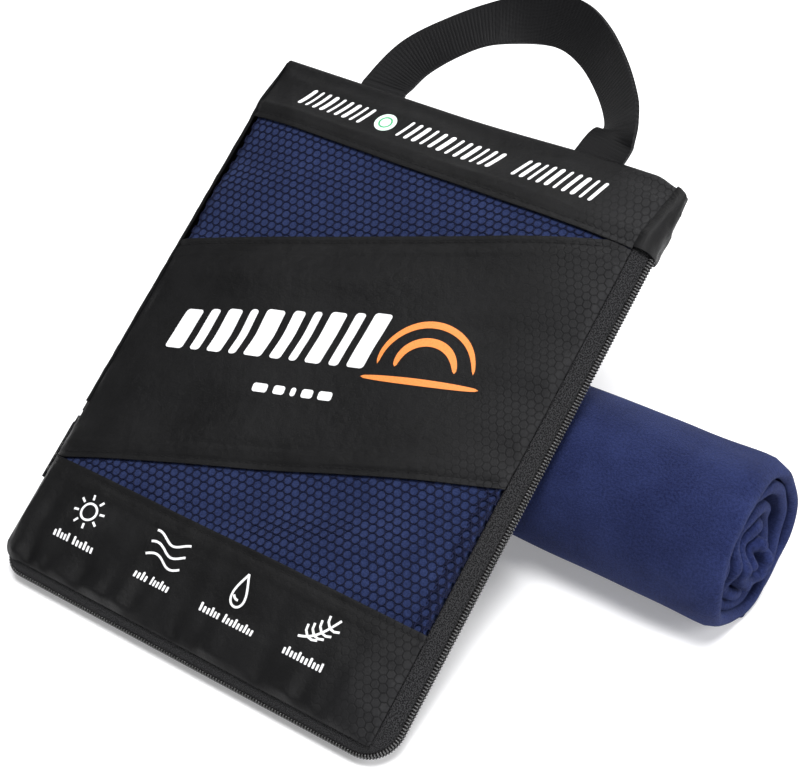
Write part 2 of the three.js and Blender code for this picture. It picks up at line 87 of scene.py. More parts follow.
def ease(low, high, value):  # 0 below low, 1 above high, smooth between
    share = clamp((value - low) / (high - low))
    return share * share * (3 - 2 * share)


def blendOf(a, b, share):
    return a + (b - a) * share


def steps(start, end, count):
    return [start + (end - start) * i / count for i in range(count + 1)]


def easedSteps(start, end, count):  # closer together towards both ends
    shares = [i / count for i in range(count + 1)]
    return [start + (end - start) * (s - 0.86 * math.sin(2 * math.pi * s) / (2 * math.pi)) for s in shares]


def inTaper(z):  # 0 where the pouch starts to thin, 1 at its top edge
    return (z - pouch["taperStart"]) / (pouch["height"] - pouch["taperStart"])


def rightSeamAt(z):
    return panelRight + pouch["topSpread"] * max(0, inTaper(z))


def leftSeamAt(z):
    return panelLeft - pouch["leftSpread"] * ease(bands["topHem"] - 6, pouch["height"], z)


def seamDistance(x, z):  # how far a point is inside the sewn side and bottom edges
    centreX, centreZ = pouch["leftRim"] + pouch["leftRadius"], pouch["leftRadius"]
    if x < centreX and z < centreZ:
        turn = math.atan2(centreX - x, centreZ - z) / (math.pi / 2)
        radius = pouch["leftRadius"] - blendOf(pouch["bottomInset"], pouch["leftInset"], turn)
        return radius - math.hypot(centreX - x, centreZ - z)
    rounding = pouch["seamRound"]
    outX, outZ = x - (panelRight - rounding), pouch["bottomInset"] + rounding - z
    if outX > 0 and outZ > 0:
        return rounding - math.hypot(outX, outZ)
    return min(x - leftSeamAt(z), rightSeamAt(z) - x, z - pouch["bottomInset"])


def bottomSeamAt(x):  # height of the panels' bottom edge, round both corners
    low, high = pouch["bottomInset"] - 1, pouch["rightRadius"] + 1
    for _ in range(22):
        middle = (low + high) / 2
        low, high = (low, middle) if seamDistance(x, middle) > -0.02 else (middle, high)
    return high


def softNoise(x, z, size, seed):
    return noise.noise(Vector((x / size, z / size, seed)))


wrinkle = {"seam": 2.6, "seamReach": 18, "seamPitch": 7.5, "edgeReach": 9, "length": 60,
           "broad": 1.4, "broadSize": 38, "drag": 1.5, "dragPitch": 13}


def wrinkleAt(x, z, seed):
    side = min(x - panelLeft, rightSeamAt(z) - x)
    fromBottom = z - pouch["bottomInset"]
    fromTop = pouch["height"] - z
    pitch, near, length = wrinkle["seamPitch"], wrinkle["edgeReach"], wrinkle["length"]

    def ruck(across, along, seedNow, far, reach):  # dies away from the seam
        return noise.noise(Vector((across, along / length, seedNow))) * math.exp(-max(far, 0) / reach)

    pull = ruck(x / pitch, z, seed, fromBottom, wrinkle["seamReach"])
    pull += 0.6 * ruck(z / pitch, x, seed + 3, side, near)
    pull += 0.5 * ruck(x / (1.5 * pitch), z, seed + 6, fromTop, near)
    broad = wrinkle["broad"] * softNoise(x, z, wrinkle["broadSize"], seed + 9)
    along = 0.94 * x + 0.34 * z
    across = 0.94 * z - 0.34 * x
    drag = wrinkle["drag"] * noise.noise(Vector((along / length, across / wrinkle["dragPitch"], seed + 12)))
    return (wrinkle["seam"] * pull + broad + drag) * ease(0, 3, seamDistance(x, z))


def taperAt(z):  # half the pouch's depth, thinning softly towards its top edge
    share = ease(0, 1, 0.5 + 0.5 * inTaper(z)) * 2 - 1
    return blendOf(pouch["depth"] / 2, pouch["topDepth"] / 2, max(0, share))


def crownAt(x, z):  # 1 over the filled middle, 0 at the seams
    inside = min(seamDistance(x, z), 0.7 * (pouch["height"] - z))
    return 1 - (1 - clamp(inside / 44)) ** 2.4


def dropAt(x, z):  # the cloth rolls inwards at its seams
    return pouch["seamDrop"] * (1 - clamp(seamDistance(x, z) / pouch["seamRoll"])) ** 2


def frontDepth(x, z):
    return -taperAt(z) - pouch["bulge"] * crownAt(x, z) + dropAt(x, z) + wrinkleAt(x, z, 0.5)


def backDepth(x, z):
    return taperAt(z) + pouch["backBulge"] * crownAt(x, z) - dropAt(x, z) + 0.5 * wrinkleAt(x, z, 30.5)


def sashLow(x):
    return bands["sashStart"] + bands["lowSlope"] * x


def sashHigh(x):
    return bands["sashStart"] + bands["sashHeight"] + bands["sashSlope"] * x


foldMiddle = (fold["start"] + fold["end"]) / 2
foldAlong = (fold["end"] - fold["start"]).normalized()
foldAcross = foldAlong.cross(Vector((0, 1, 0))).normalized()
if foldAcross.x < 0:
    foldAcross = -foldAcross
blendStart = toWorld @ (foldMiddle - foldAcross * fold["reach"])
blendEnd = toWorld @ (foldMiddle + foldAcross * fold["reach"])


def newMesh():
    bm = bmesh.new()
    bm.verts.layers.float_vector.new("cloth")
    return bm


def setCloth(bm, verts, placeOf):  # the cloth's flat place, worked out from a point and its old flat place
    cloth = bm.verts.layers.float_vector["cloth"]
    for vert in verts:
        vert[cloth] = placeOf(vert.co, vert[cloth].copy())


def setDown(bm, mesh, place):  # adds a copy of a small mesh, placed
    copy = mesh.copy()
    copy.transform(place)
    bm.from_mesh(copy)
    bpy.data.meshes.remove(copy)


def sheetGrid(bm, across, along, placeAt, flip=False):  # a grid with its columns and rows at these stations
    cols, rows = len(across) - 1, len(along) - 1
    made = bmesh.ops.create_grid(bm, x_segments=cols, y_segments=rows, size=0.5)["verts"]
    cloth = bm.verts.layers.float_vector["cloth"]
    for vert in made:
        u = across[round((vert.co.x + 0.5) * cols)]
        v = along[round((vert.co.y + 0.5) * rows)]
        vert[cloth] = (u, v, 0)
        vert.co = placeAt(u, v)
    if flip:
        bmesh.ops.reverse_faces(bm, faces=list({face for vert in made for face in vert.link_faces}))
    return made


def addPiece(name, bm, finish, body, slot, stands=(), thick=0, edge=0, space=toWorld, sharp=False, offset=-1):
    bm.transform(space)
    mesh = bpy.data.meshes.new(name)
    bm.to_mesh(mesh)
    bm.free()
    mesh.polygons.foreach_set("use_smooth", [not sharp] * len(mesh.polygons))
    mesh.materials.append(finish)
    piece = bpy.data.objects.new(name, mesh)
    bpy.context.scene.collection.objects.link(piece)
    if thick:
        wall = piece.modifiers.new("wall", "SOLIDIFY")
        wall.thickness = thick * 0.001
        wall.offset = offset
        wall.use_even_offset = False
    if edge:
        rounding = piece.modifiers.new("edge", "BEVEL")
        rounding.width = edge * 0.001
        rounding.segments = 2
        rounding.limit_method = "ANGLE"
        rounding.angle_limit = math.radians(50)
    if stands:
        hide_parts(*stands)
    if isinstance(body, str):
        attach(piece, body)
    else:
        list(body[:2])
        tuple(body[2])
        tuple(body[3])
        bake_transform(piece)
    return piece


def clothPiece(name, across, along, placeAt, flatAt, finish, body, slot, stands, flip=False, **looks):
    bm = newMesh()
    made = sheetGrid(bm, across, along, placeAt, flip)
    setCloth(bm, made, flatAt)
    return addPiece(name, bm, finish, body, slot, stands, **looks)


def upright(at, flat):  # the cloth's flat place is its x and z
    return (at.x, at.z, 0)


def beadMesh():  # one short loop of thread, a millimetre in radius
    bead = bmesh.new()
    bmesh.ops.create_uvsphere(bead, u_segments=6, v_segments=4, radius=1)
    mesh = bpy.data.meshes.new("bead")
    bead.to_mesh(mesh)
    bead.free()
    return mesh


bead = beadMesh()


def threadBead(bm, at, towards, size):  # its long side points at towards
    along = (towards - at).normalized() if (towards - at).length > 1e-6 else Vector((0, 1, 0))
    other = along.cross(Vector((0, 0, 1)) if abs(along.z) < 0.9 else Vector((0, 1, 0))).normalized()
    turn = Matrix((other * size[0], along * size[1], other.cross(along) * size[2])).transposed().to_4x4()
    setDown(bm, bead, Matrix.Translation(at) @ turn)


def localBox(node):  # a node's lowest and highest corner in the pouch's own millimetres
    back = toWorld.inverted()
    places = [back @ vert.co for vert in frame["nodes"][node].data.vertices]
    return [tuple(pick(place[i] for place in places) for i in range(3)) for pick in (min, max)]


opening = ("pouch", "front_flap", blendStart, blendEnd)  # the body given to the front's pieces; addPiece only bakes their place into the mesh


class Wire:  # a node's output, which Python arithmetic can be written on
    def __init__(self, finish, socket):
        self.finish = finish
        self.socket = socket

    def maths(self, operation, *others):
        values = dict(enumerate([self, *others]))
        return self.finish.add("ShaderNodeMath", {"operation": operation}, values).out()

    def __add__(self, other):
        return self.maths("ADD", other)

    __radd__ = __add__

    def __sub__(self, other):
        return self.maths("SUBTRACT", other)

    def __rsub__(self, other):
        return (self * -1).maths("ADD", other)

    def __mul__(self, other):
        return self.maths("MULTIPLY", other)

    __rmul__ = __mul__

    def __truediv__(self, other):
        return self.maths("DIVIDE", other)

    def range(self, low, high, newLow=0.0, newHigh=1.0):
        values = {"Value": self, "From Min": low, "From Max": high, "To Min": newLow, "To Max": newHigh}
        return self.finish.add("ShaderNodeMapRange", {}, values).out()


class Node:
    def __init__(self, finish, node):
        self.finish = finish
        self.node = node

    def out(self, which=0):
        return Wire(self.finish, self.node.outputs[which])


class Finish:  # one material; add makes any node, with its settings set before its sockets
    def __init__(self, name, **shader):
        self.material = bpy.data.materials.new(name)
        self.material.use_nodes = True
        self.tree = self.material.node_tree
        self.tree.nodes.clear()
        values = {key.replace("_", " "): value for key, value in shader.items()}
        self.shader = self.add("ShaderNodeBsdfPrincipled", {}, values)
        self.add("ShaderNodeOutputMaterial", {}, {"Surface": self.shader.out()})

    def add(self, kind, settings, values):
        node = self.tree.nodes.new(kind)
        for key, value in settings.items():
            setattr(node, key, value)
        for key, value in values.items():
            socket = node.inputs[key]
            if isinstance(value, Wire):
                self.tree.links.new(value.socket, socket)
            else:
                socket.default_value = value
        return Node(self, node)

    def own(self):  # the piece's own place, in metres
        return self.add("ShaderNodeTexCoord", {}, {}).out("Object")

    def place(self):  # the cloth's own flat place, in millimetres
        return self.add("ShaderNodeAttribute", {"attribute_name": "cloth"}, {}).out("Vector")

    def split(self, vector):
        parts = self.add("ShaderNodeSeparateXYZ", {}, {"Vector": vector})
        return parts.out("X"), parts.out("Y"), parts.out("Z")

    def grain(self, vector, scale, detail=2.0, rough=0.5):
        values = {"Vector": vector, "Scale": scale, "Detail": detail, "Roughness": rough}
        return self.add("ShaderNodeTexNoise", {}, values).out("Fac")

    def mix(self, share, first, second):
        node = self.add("ShaderNodeMix", {"data_type": "RGBA"}, {"Factor": share})
        for index, value in ((6, first), (7, second)):
            if isinstance(value, Wire):
                self.tree.links.new(value.socket, node.node.inputs[index])
            else:
                node.node.inputs[index].default_value = value
        return node.out(2)

    def paint(self, share, dark, light):
        self.feed(Base_Color=self.mix(share, dark, light))

    def feed(self, **sockets):
        for key, value in sockets.items():
            self.tree.links.new(value.socket, self.shader.node.inputs[key.replace("_", " ")])

    def bump(self, height, distance, strength=1.0):
        values = {"Height": height, "Distance": distance, "Strength": strength}
        self.feed(Normal=self.add("ShaderNodeBump", {}, values).out("Normal"))


def colour(red, green, blue):  # screen values, 0 to 255, to what a shader takes
    def linear(value):
        share = value / 255
        return share / 12.92 if share < 0.04045 else ((share + 0.055) / 1.055) ** 2.4
    return (linear(red), linear(green), linear(blue), 1)


def hexLines(x, z, pitch):  # distance from a honeycomb's lines, 0 on a line, in cells
    tall = math.sqrt(3)
    u, v = x / pitch, z / pitch

    def cell(shiftU, shiftV):
        a = (u + shiftU).maths("FLOORED_MODULO", 1.0) - 0.5
        b = (v + shiftV).maths("FLOORED_MODULO", tall) - tall / 2
        a, b = a.maths("ABSOLUTE"), b.maths("ABSOLUTE")
        return a.maths("MAXIMUM", a * 0.5 + b * (tall / 2))
    return 0.5 - cell(0, 0).maths("MINIMUM", cell(0.5, tall / 2))


def fabricFinish():
    finish = Finish("blackRipstop", Roughness=0.42, Specular_IOR_Level=0.13)
    place = finish.place()
    x, z, _ = finish.split(place)
    patchy = finish.grain(place, 0.03, 2, 0.5)
    shows = x.range(138, 170, 0.02, 0.85) + patchy.range(0.52, 0.68, 0, 0.2)
    # painted highlight: the colour lightens towards the right edge, where the cloth turns to the light
    paintedSheen = x.range(146, 174, 0, 0.7) * patchy.range(0.3, 0.7, 0.6, 1)
    line = hexLines(x, z, 3.1).range(0.02, 0.11, 1, 0) * shows
    weave = (x * (2 * math.pi / 0.42)).maths("SINE") * (z * (2 * math.pi / 0.42)).maths("SINE")
    cloud = finish.grain(place, 0.045, 4, 0.6)
    speck = finish.grain(place, 1.9, 2, 0.6)
    shade = cloud.range(0.3, 0.7, 0, 0.6) + speck.range(0.3, 0.7, 0, 0.4)
    tone = finish.mix(shade, colour(9, 9, 10), colour(23, 23, 24))
    # mixes the painted highlight into the cloth's own dark tone
    tone = finish.mix(paintedSheen, tone, colour(36, 36, 38))
    finish.paint(line * 0.6, tone, colour(5, 5, 5))
    finish.feed(Roughness=cloud.range(0.3, 0.7, 0.36, 0.5) + line * 0.2)
    crinkle = finish.grain(place, 0.2, 4, 0.55)
    finish.bump(weave * 0.25 - line * 1.1 + speck * 0.6 + crinkle * 3.2, 0.00012)
    return finish.material


def towelFinish(name, dark, light):
    finish = Finish(name, Roughness=0.95, Specular_IOR_Level=0.1, Sheen_Weight=0.08, Sheen_Roughness=0.4,
                    Sheen_Tint=colour(160, 172, 210))
    place = finish.place()
    nap = finish.grain(place, 1.1, 5, 0.65)
    brushed = finish.grain(place, 0.05, 3, 0.55)
    fluff = finish.grain(place, 4.5, 2, 0.6)
    shade = nap.range(0.4, 0.6, 0, 0.5) + brushed.range(0.38, 0.62, 0, 0.3) + fluff.range(0.4, 0.6, 0, 0.2)
    finish.paint(shade, dark, light)
    finish.feed(Roughness=nap.range(0.3, 0.7, 0.85, 1.0))
    finish.bump(nap + fluff * 0.7, 0.0009, 0.9)
    return finish.material


def netFinish():
    finish = Finish("navyNet", Roughness=0.7, Specular_IOR_Level=0.15)
    place = finish.place()
    fibre = finish.grain(place, 3.0, 3, 0.6)
    finish.paint(fibre.range(0.3, 0.7), colour(8, 11, 28), colour(17, 23, 54))
    finish.bump(fibre, 0.0001, 0.8)
    return finish.material


def tapeFinish():
    finish = Finish("wovenTape", Roughness=0.9, Specular_IOR_Level=0.15)
    place = finish.place()
    along, across, _ = finish.split(place)
    twill = ((along + across * 1.3) * (2 * math.pi / 0.66)).maths("SINE")
    cross = ((along - across * 1.3) * (2 * math.pi / 0.66)).maths("SINE")
    speck = finish.grain(place, 2.0, 2, 0.7)
    weave = twill * cross
    shade = weave.range(-0.1, 0.9, 0, 0.35) + speck.range(0.48, 0.54, 0, 0.65)
    finish.paint(shade, colour(2, 2, 3), colour(70, 70, 72))
    finish.bump(weave * 0.5 + speck, 0.00022)
    return finish.material


def webbingFinish():
    finish = Finish("ribbedWebbing", Roughness=0.5, Specular_IOR_Level=0.14)
    place = finish.place()
    across, along, _ = finish.split(place)
    rib = (along * (2 * math.pi / 1.35)).maths("SINE")
    yarn = (across * (2 * math.pi / 0.55) + rib * 0.8).maths("SINE")
    fray = finish.grain(place, 2.2, 3, 0.6)
    shade = rib.range(-1, 1, 0, 0.4) + yarn.range(-1, 1, 0, 0.25) + fray.range(0.3, 0.7, 0, 0.35)
    finish.paint(shade, colour(7, 7, 8), colour(24, 24, 26))
    finish.bump(yarn * 0.4 + rib * 0.3 + fray * 0.4, 0.00018)
    return finish.material


def plasticFinish():
    finish = Finish("nylonCoil", Roughness=0.2, Specular_IOR_Level=0.5)
    grit = finish.grain(finish.own(), 1400, 2, 0.5)
    finish.paint(grit.range(0.3, 0.7), colour(52, 52, 52), colour(84, 84, 84))
    finish.feed(Roughness=grit.range(0.3, 0.7, 0.15, 0.24))
    return finish.material


def metalFinish():
    finish = Finish("blackLacquer", Roughness=0.34, Metallic=0.85)
    place = finish.own()
    wear = finish.grain(place, 420, 4, 0.6)
    fine = finish.grain(place, 2600, 2, 0.5)
    finish.paint(wear.range(0.52, 0.7), colour(44, 44, 46), colour(120, 118, 114))
    finish.feed(Roughness=fine.range(0.3, 0.7, 0.26, 0.42))
    finish.bump(fine, 0.00002, 0.6)
    return finish.material


def threadFinish(name, dark, light):
    finish = Finish(name, Roughness=0.75, Specular_IOR_Level=0.2)
    twist = finish.grain(finish.own(), 2200, 2, 0.5)
    finish.paint(twist.range(0.35, 0.65), dark, light)
    return finish.material


def printFinish(name, thin, full):
    finish = Finish(name, Roughness=0.5, Specular_IOR_Level=0.4)
    place = finish.place()
    cover = finish.grain(place, 1.8, 3, 0.6)
    finish.paint(cover.range(0.25, 0.5), thin, full)
    finish.feed(Roughness=cover.range(0.3, 0.7, 0.42, 0.6))
    finish.bump(finish.grain(place, 5.0, 2, 0.5), 0.00003, 0.6)
    return finish.material


fabric = fabricFinish()
suede = towelFinish("navySuede", colour(19, 26, 62), colour(45, 55, 100))
# a lighter copy of the roll's suede: painted light that offsets the net's shade on the folded towel
brightenedSuede = towelFinish("brightenedSuede", colour(30, 40, 76), colour(52, 64, 106))
netting = netFinish()
woven = tapeFinish()
webbing = webbingFinish()
nylon = plasticFinish()
lacquer = metalFinish()
blackThread = threadFinish("blackThread", colour(8, 8, 9), colour(22, 22, 24))
cordThread = threadFinish("cordThread", colour(1, 1, 1), colour(5, 5, 5))
netThread = threadFinish("netThread", colour(10, 13, 34), colour(24, 30, 70))
navyThread = threadFinish("navyThread", colour(28, 36, 76), colour(50, 60, 108))
whiteInk = printFinish("whiteInk", colour(214, 214, 216), colour(240, 240, 242))
orangeInk = printFinish("orangeInk", colour(212, 112, 50), colour(236, 140, 70))
mintInk = printFinish("mintInk", colour(176, 216, 196), colour(226, 244, 236))
greenInk = printFinish("greenInk", colour(44, 128, 84), colour(74, 170, 116))
print("materials made")


def hemRelief(inside):  # a turned hem stands a little proud, with a groove where it is stitched
    proud = -0.28 * (1 - ease(bands["hem"] - 0.8, bands["hem"] + 0.6, inside))
    groove = 0.34 * math.exp(-((inside - bands["stitchIn"]) / bands["grooveWidth"]) ** 2)
    return proud + groove


def topHemRelief(x, z):
    return hemRelief(z - bands["topHem"])


def bottomHemRelief(x, z):
    return hemRelief(bands["bottomHem"] - z)


slopeScale = 1 / math.hypot(1, bands["sashSlope"])


def sashRelief(x, z):
    low = (z - sashLow(x)) * slopeScale
    high = (sashHigh(x) - z) * slopeScale
    return hemRelief(min(low, high))


topEdge = {"lift": 2.3, "liftFrom": 80, "liftTo": 160, "cornerDrop": 2.4, "behind": 4.0}


def topLift(x, z):  # the top edge rides up a little towards its right end
    rightward = ease(topEdge["liftFrom"], topEdge["liftTo"], x)
    return topEdge["lift"] * rightward * ease(bands["topHem"] + 3, pouch["height"], z)


def buildTopBand():
    height, half = pouch["height"], pouch["topDepth"] / 2
    across = steps(0, 1, 150)
    rise = steps(bands["topHem"], height - half, 34)
    over = steps(height - half, height - half + math.pi * half, 9)[1:]
    down = steps(over[-1], over[-1] + topEdge["behind"], 3)[1:]

    def placeAt(u, s):
        level = min(s, height - half)
        x = blendOf(leftSeamAt(level), rightSeamAt(min(level + 2, height)), u)
        if s <= height - half:
            near = ease(height - 9, height - half, s)
            return (x, blendOf(frontDepth(x, s), -half, near) + topHemRelief(x, s), s)
        if s <= over[-1]:
            turn = (s - (height - half)) / half
            return (x, -half * math.cos(turn), height - half + half * math.sin(turn) * 0.9)
        return (x, half, height - half - (s - over[-1]))

    def cornered(u, s):
        x, y, z = placeAt(u, s)
        lower = topEdge["cornerDrop"] * ease(panelRight - 8, panelRight + 3, x) * ease(height - 12, height, z)
        return (x, y, z + topLift(x, z) - lower)

    clothPiece("top_band_cloth", across, rise + over + down, cornered, lambda at, flat: (at.x, flat.y, 0),
               fabric, "pouch", "band_fabric", ["top_band"], thick=0.8, edge=0.25)


def buildSash():
    gap = bands["gap"]

    def placeAt(x, v):
        low = max(bands["bottomHem"] + gap, sashLow(x))
        high = min(bands["topHem"] - gap, sashHigh(x))
        z = blendOf(low, high, v)
        return (x, frontDepth(x, z) + sashRelief(x, z), z)

    clothPiece("centre_sash_cloth", steps(panelLeft, panelRight, 150), easedSteps(0, 1, 92), placeAt, upright,
               fabric, opening, "band_fabric", ["centre_sash_fixed", "centre_sash_opening"],
               thick=0.9, edge=0.25)


def buildBottomBand():
    def placeAt(x, v):
        z = blendOf(bottomSeamAt(x), bands["bottomHem"], v)
        return (x, frontDepth(x, z) + bottomHemRelief(x, z), z)

    clothPiece("bottom_band_cloth", easedSteps(panelLeft, panelRight, 170), steps(0, 1, 44), placeAt, upright,
               fabric, opening, "band_fabric", ["bottom_band_fixed", "bottom_band_opening"],
               thick=0.9, edge=0.25)


def buildBackPanel():
    top = pouch["height"] - 2.2

    def placeAt(u, v):
        x = blendOf(panelLeft, panelRight, u)
        z = blendOf(bottomSeamAt(x), top, v)
        x = blendOf(leftSeamAt(z), rightSeamAt(z), u)
        return (x, max(backDepth(x, z), 3.4), z)

    clothPiece("back_panel_cloth", easedSteps(0, 1, 130), steps(0, 1, 150), placeAt, upright,
               fabric, "pouch", "band_fabric", ["back_panel"], flip=True, thick=0.9, edge=0.25)


gusset = {"left": 70, "garage": 201.2, "top": pouch["height"] - 2.4, "drop": 2.6, "reach": 0.94, "bow": 0.55,
          "leftRipple": 0.5, "rightRipple": 0.9, "fineRipple": 0.35}


def buildGusset(name, node, fromZ, seamAt, reachAt, side, drop=0):
    toZ = gusset["top"]

    def placeAt(t, z):
        share = max(0.0, math.sin(math.pi * t))
        bow = share ** gusset["bow"]
        half = taperAt(z) * gusset["reach"]
        ripple = gusset["rightRipple" if side > 0 else "leftRipple"]
        ripple *= softNoise(z, t * 16, 4, side * 5.5) * share
        ripple += gusset["fineRipple"] * softNoise(z, t * 16, 1.7, side * 9.5) * share
        x = seamAt(z) + side * (reachAt(z) * bow + ripple)
        lower = drop * share * ease(fromZ + 8, toZ, z)
        return (x, half * -math.cos(math.pi * t), z + topLift(x, z) - lower)

    levels = steps(fromZ, toZ, max(24, round((toZ - fromZ) / 2)))
    clothPiece(name, steps(0, 1, 24), levels, placeAt, lambda at, flat: (at.y + 40, at.z, 0),
               fabric, "pouch", "band_fabric", [node], flip=side < 0, thick=0.7, edge=0.2)


buildTopBand()
buildSash()
buildBottomBand()
buildBackPanel()
buildGusset("left_gusset_cloth", "left_gusset", gusset["left"], lambda z: leftSeamAt(z) + 0.2,
            lambda z: panelLeft * ease(240, 205, z), -1)
buildGusset("zip_garage_cloth", "zip_garage", gusset["garage"], lambda z: rightSeamAt(z) - 0.2,
            lambda z: pouch["width"] - rightSeamAt(z) + 0.6, 1, gusset["drop"])
print("bands, sash, back and sides made")

net = {"pitch": 3.46, "hole": 1.5, "thick": 0.28, "behind": 1.1, "ridge": 0.14, "tuck": 6, "hemWidth": 5.6}


def netCell(bm):
    ring = bmesh.ops.create_circle(bm, segments=6, radius=net["pitch"] / math.sqrt(3),
                                   matrix=Matrix.Rotation(math.radians(30), 4, "Z"))["verts"]
    outer = list({edge for vert in ring for edge in vert.link_edges})
    bmesh.ops.subdivide_edges(bm, edges=outer, cuts=1)
    outer = list(bm.edges)
    hole = bmesh.ops.create_circle(bm, segments=12, radius=net["hole"])["verts"]
    inner = list({edge for vert in hole for edge in vert.link_edges})
    bmesh.ops.bridge_loops(bm, edges=outer + inner)
    setCloth(bm, bm.verts, lambda at, flat: (0, 0, 1))
    setCloth(bm, hole, lambda at, flat: (0, 0, 0))


def repeat(bm, moves):  # copies all there is to each of these places
    source = [*bm.verts, *bm.edges, *bm.faces]
    for move in moves:
        copy = bmesh.ops.duplicate(bm, geom=source)["geom"]
        verts = [part for part in copy if isinstance(part, bmesh.types.BMVert)]
        bmesh.ops.translate(bm, verts=verts, vec=move)


def netLattice(left, right, low, high, shift):
    bm = newMesh()
    netCell(bm)
    pitch, rowHeight = net["pitch"], net["pitch"] * math.sqrt(3) / 2
    columns = math.ceil((right - left) / pitch) + 2
    rows = math.ceil((high - low) / rowHeight) + 2
    repeat(bm, [(i * pitch, 0, 0) for i in range(1, columns)])
    repeat(bm, [(-pitch / 2 if j % 2 else 0, j * rowHeight, 0) for j in range(1, rows)])
    bmesh.ops.translate(bm, verts=list(bm.verts), vec=(left + shift, low, 0))
    bmesh.ops.remove_doubles(bm, verts=list(bm.verts), dist=0.02)
    return bm


def cutTo(bm, planes):  # each plane is a point and the direction that is cut away, flat in x and z
    for point, away in planes:
        bmesh.ops.bisect_plane(bm, geom=[*bm.verts, *bm.edges, *bm.faces], dist=0.001, plane_co=(*point, 0),
                               plane_no=(*away, 0), clear_outer=True)


def raiseNet(bm, forward):  # stands the flat net up on the pouch's front, each strand rounded
    cloth = bm.verts.layers.float_vector["cloth"]
    for vert in bm.verts:
        x, z, ridge = vert.co.x, vert.co.y, vert[cloth].z
        vert[cloth] = (x, z, 0)
        y = frontDepth(x, z) + net["behind"] - net["ridge"] * ridge - forward
        vert.co = (x, y, z)
    bmesh.ops.recalc_face_normals(bm, faces=list(bm.faces))
    if sum(face.normal.y for face in bm.faces) > 0:
        bmesh.ops.reverse_faces(bm, faces=list(bm.faces))


def buildNet(name, nodes, body, low, high, planes):
    right = panelRight - 0.7
    shared = [((panelLeft + 1.2, 0), (-1, 0)), ((right, 0), (1, 0)), *planes]
    bm = netLattice(panelLeft - 2, panelRight + 2, low, high, 0)
    cutTo(bm, shared)
    raiseNet(bm, 0)
    addPiece(name, bm, netting, body, "net", nodes, thick=net["thick"])
    hem = netLattice(right - net["hemWidth"] - 4, panelRight + 2, low, high, net["pitch"] * 0.27)
    cutTo(hem, [*shared, ((right - net["hemWidth"], 0), (-1, 0))])
    raiseNet(hem, 0.35)
    addPiece(name + "_hem", hem, netting, body, "net", thick=net["thick"] * 0.8)


slope = bands["sashSlope"]
tuck = net["tuck"]
buildNet("upper_net_mesh", ["upper_net"], "pouch", sashHigh(0) - tuck - 2, bands["topHem"] + tuck,
         [((0, sashHigh(0) - tuck), (slope, -1)), ((0, bands["topHem"] + tuck), (0, 1))])
buildNet("lower_net_mesh", ["lower_net_fixed", "lower_net_opening"], opening,
         bands["bottomHem"] - tuck - 2, sashLow(panelRight) + tuck,
         [((0, sashLow(0) + tuck), (-bands["lowSlope"], 1)), ((0, bands["bottomHem"] - tuck), (0, -1))])
print("nets made")

zipSize = {"tapeTop": 72, "coilTop": 62, "rightTop": 205, "coilRadius": 1.1, "coilGap": 1.1,
           "loopPitch": 1.2, "wire": 0.3, "cord": 0.56, "tapeThick": 0.5, "tapeWidth": 7.5, "bow": 0.35,
           "edgeIn": 0.7, "coilIn": 1.4, "meshIn": 0.5, "apartTo": 48, "meshedFrom": 60}


def rimAt(s, top):  # place on the rim at s mm from the top of the left side: x, z, inward x and z, seam inset
    left, right = pouch["leftRadius"], pouch["rightRadius"]
    rim, width = pouch["leftRim"], pouch["width"]
    straight = top - left
    if s < straight:
        return rim, top - s, 1, 0, pouch["leftInset"]
    s -= straight
    if s < left * math.pi / 2:
        turn = s / left
        inset = blendOf(pouch["leftInset"], pouch["bottomInset"], math.sin(turn))
        cosine, sine = math.cos(turn), math.sin(turn)
        return rim + left - left * cosine, left - left * sine, cosine, sine, inset
    s -= left * math.pi / 2
    bottom = width - right - left - rim
    if s < bottom:
        return rim + left + s, 0, 0, 1, pouch["bottomInset"]
    s -= bottom
    if s < right * math.pi / 2:
        turn = s / right
        seamX, seamZ = right - pouch["rightInset"], right - pouch["bottomInset"]
        reach = min(math.hypot(seamX, seamZ) * pouch["sharpness"],
                    seamZ / max(math.cos(turn), 0.01), seamX / max(math.sin(turn), 0.01))
        inset = right - reach
        return (width - right + right * math.sin(turn), right - right * math.cos(turn),
                -math.sin(turn), math.cos(turn), inset)
    return width, right + s - right * math.pi / 2, -1, 0, pouch["rightInset"]


def rimLength(top):
    left, right = pouch["leftRadius"], pouch["rightRadius"]
    bottom = pouch["width"] - right - left - pouch["leftRim"]
    return top - left + (left + right) * math.pi / 2 + bottom + zipSize["rightTop"] - right


coilCentre = zipSize["coilGap"] / 2 + zipSize["coilRadius"]


def buildTape(name, nodes, body, side):  # side is -1 at the front and 1 at the rear
    length = rimLength(zipSize["tapeTop"])
    half = pouch["depth"] / 2

    def placeAt(s, t):
        x, z, inX, inZ, inset = rimAt(s, zipSize["tapeTop"])
        bow = zipSize["bow"] * math.sin(math.pi * t) + 0.12 * softNoise(s, t * 4, 11, 2.5 * side)
        inward = blendOf(inset + zipSize["edgeIn"], zipSize["coilIn"], t) - bow
        depth = blendOf(half - 2.1, coilCentre + 0.35, t) + bow
        return (x + inX * inward, side * depth, z + inZ * inward)

    clothPiece(name, steps(0, length, 400), steps(0, 1, 8), placeAt,
               lambda at, flat: (flat.x, flat.y * zipSize["tapeWidth"], 0),
               woven, body, "zip_tape", nodes, flip=side < 0, thick=zipSize["tapeThick"])


def depthAt(s):  # the coils stand apart where the slider's divider runs, and mesh past it
    return coilCentre - zipSize["meshIn"] * ease(zipSize["apartTo"], zipSize["meshedFrom"], s)


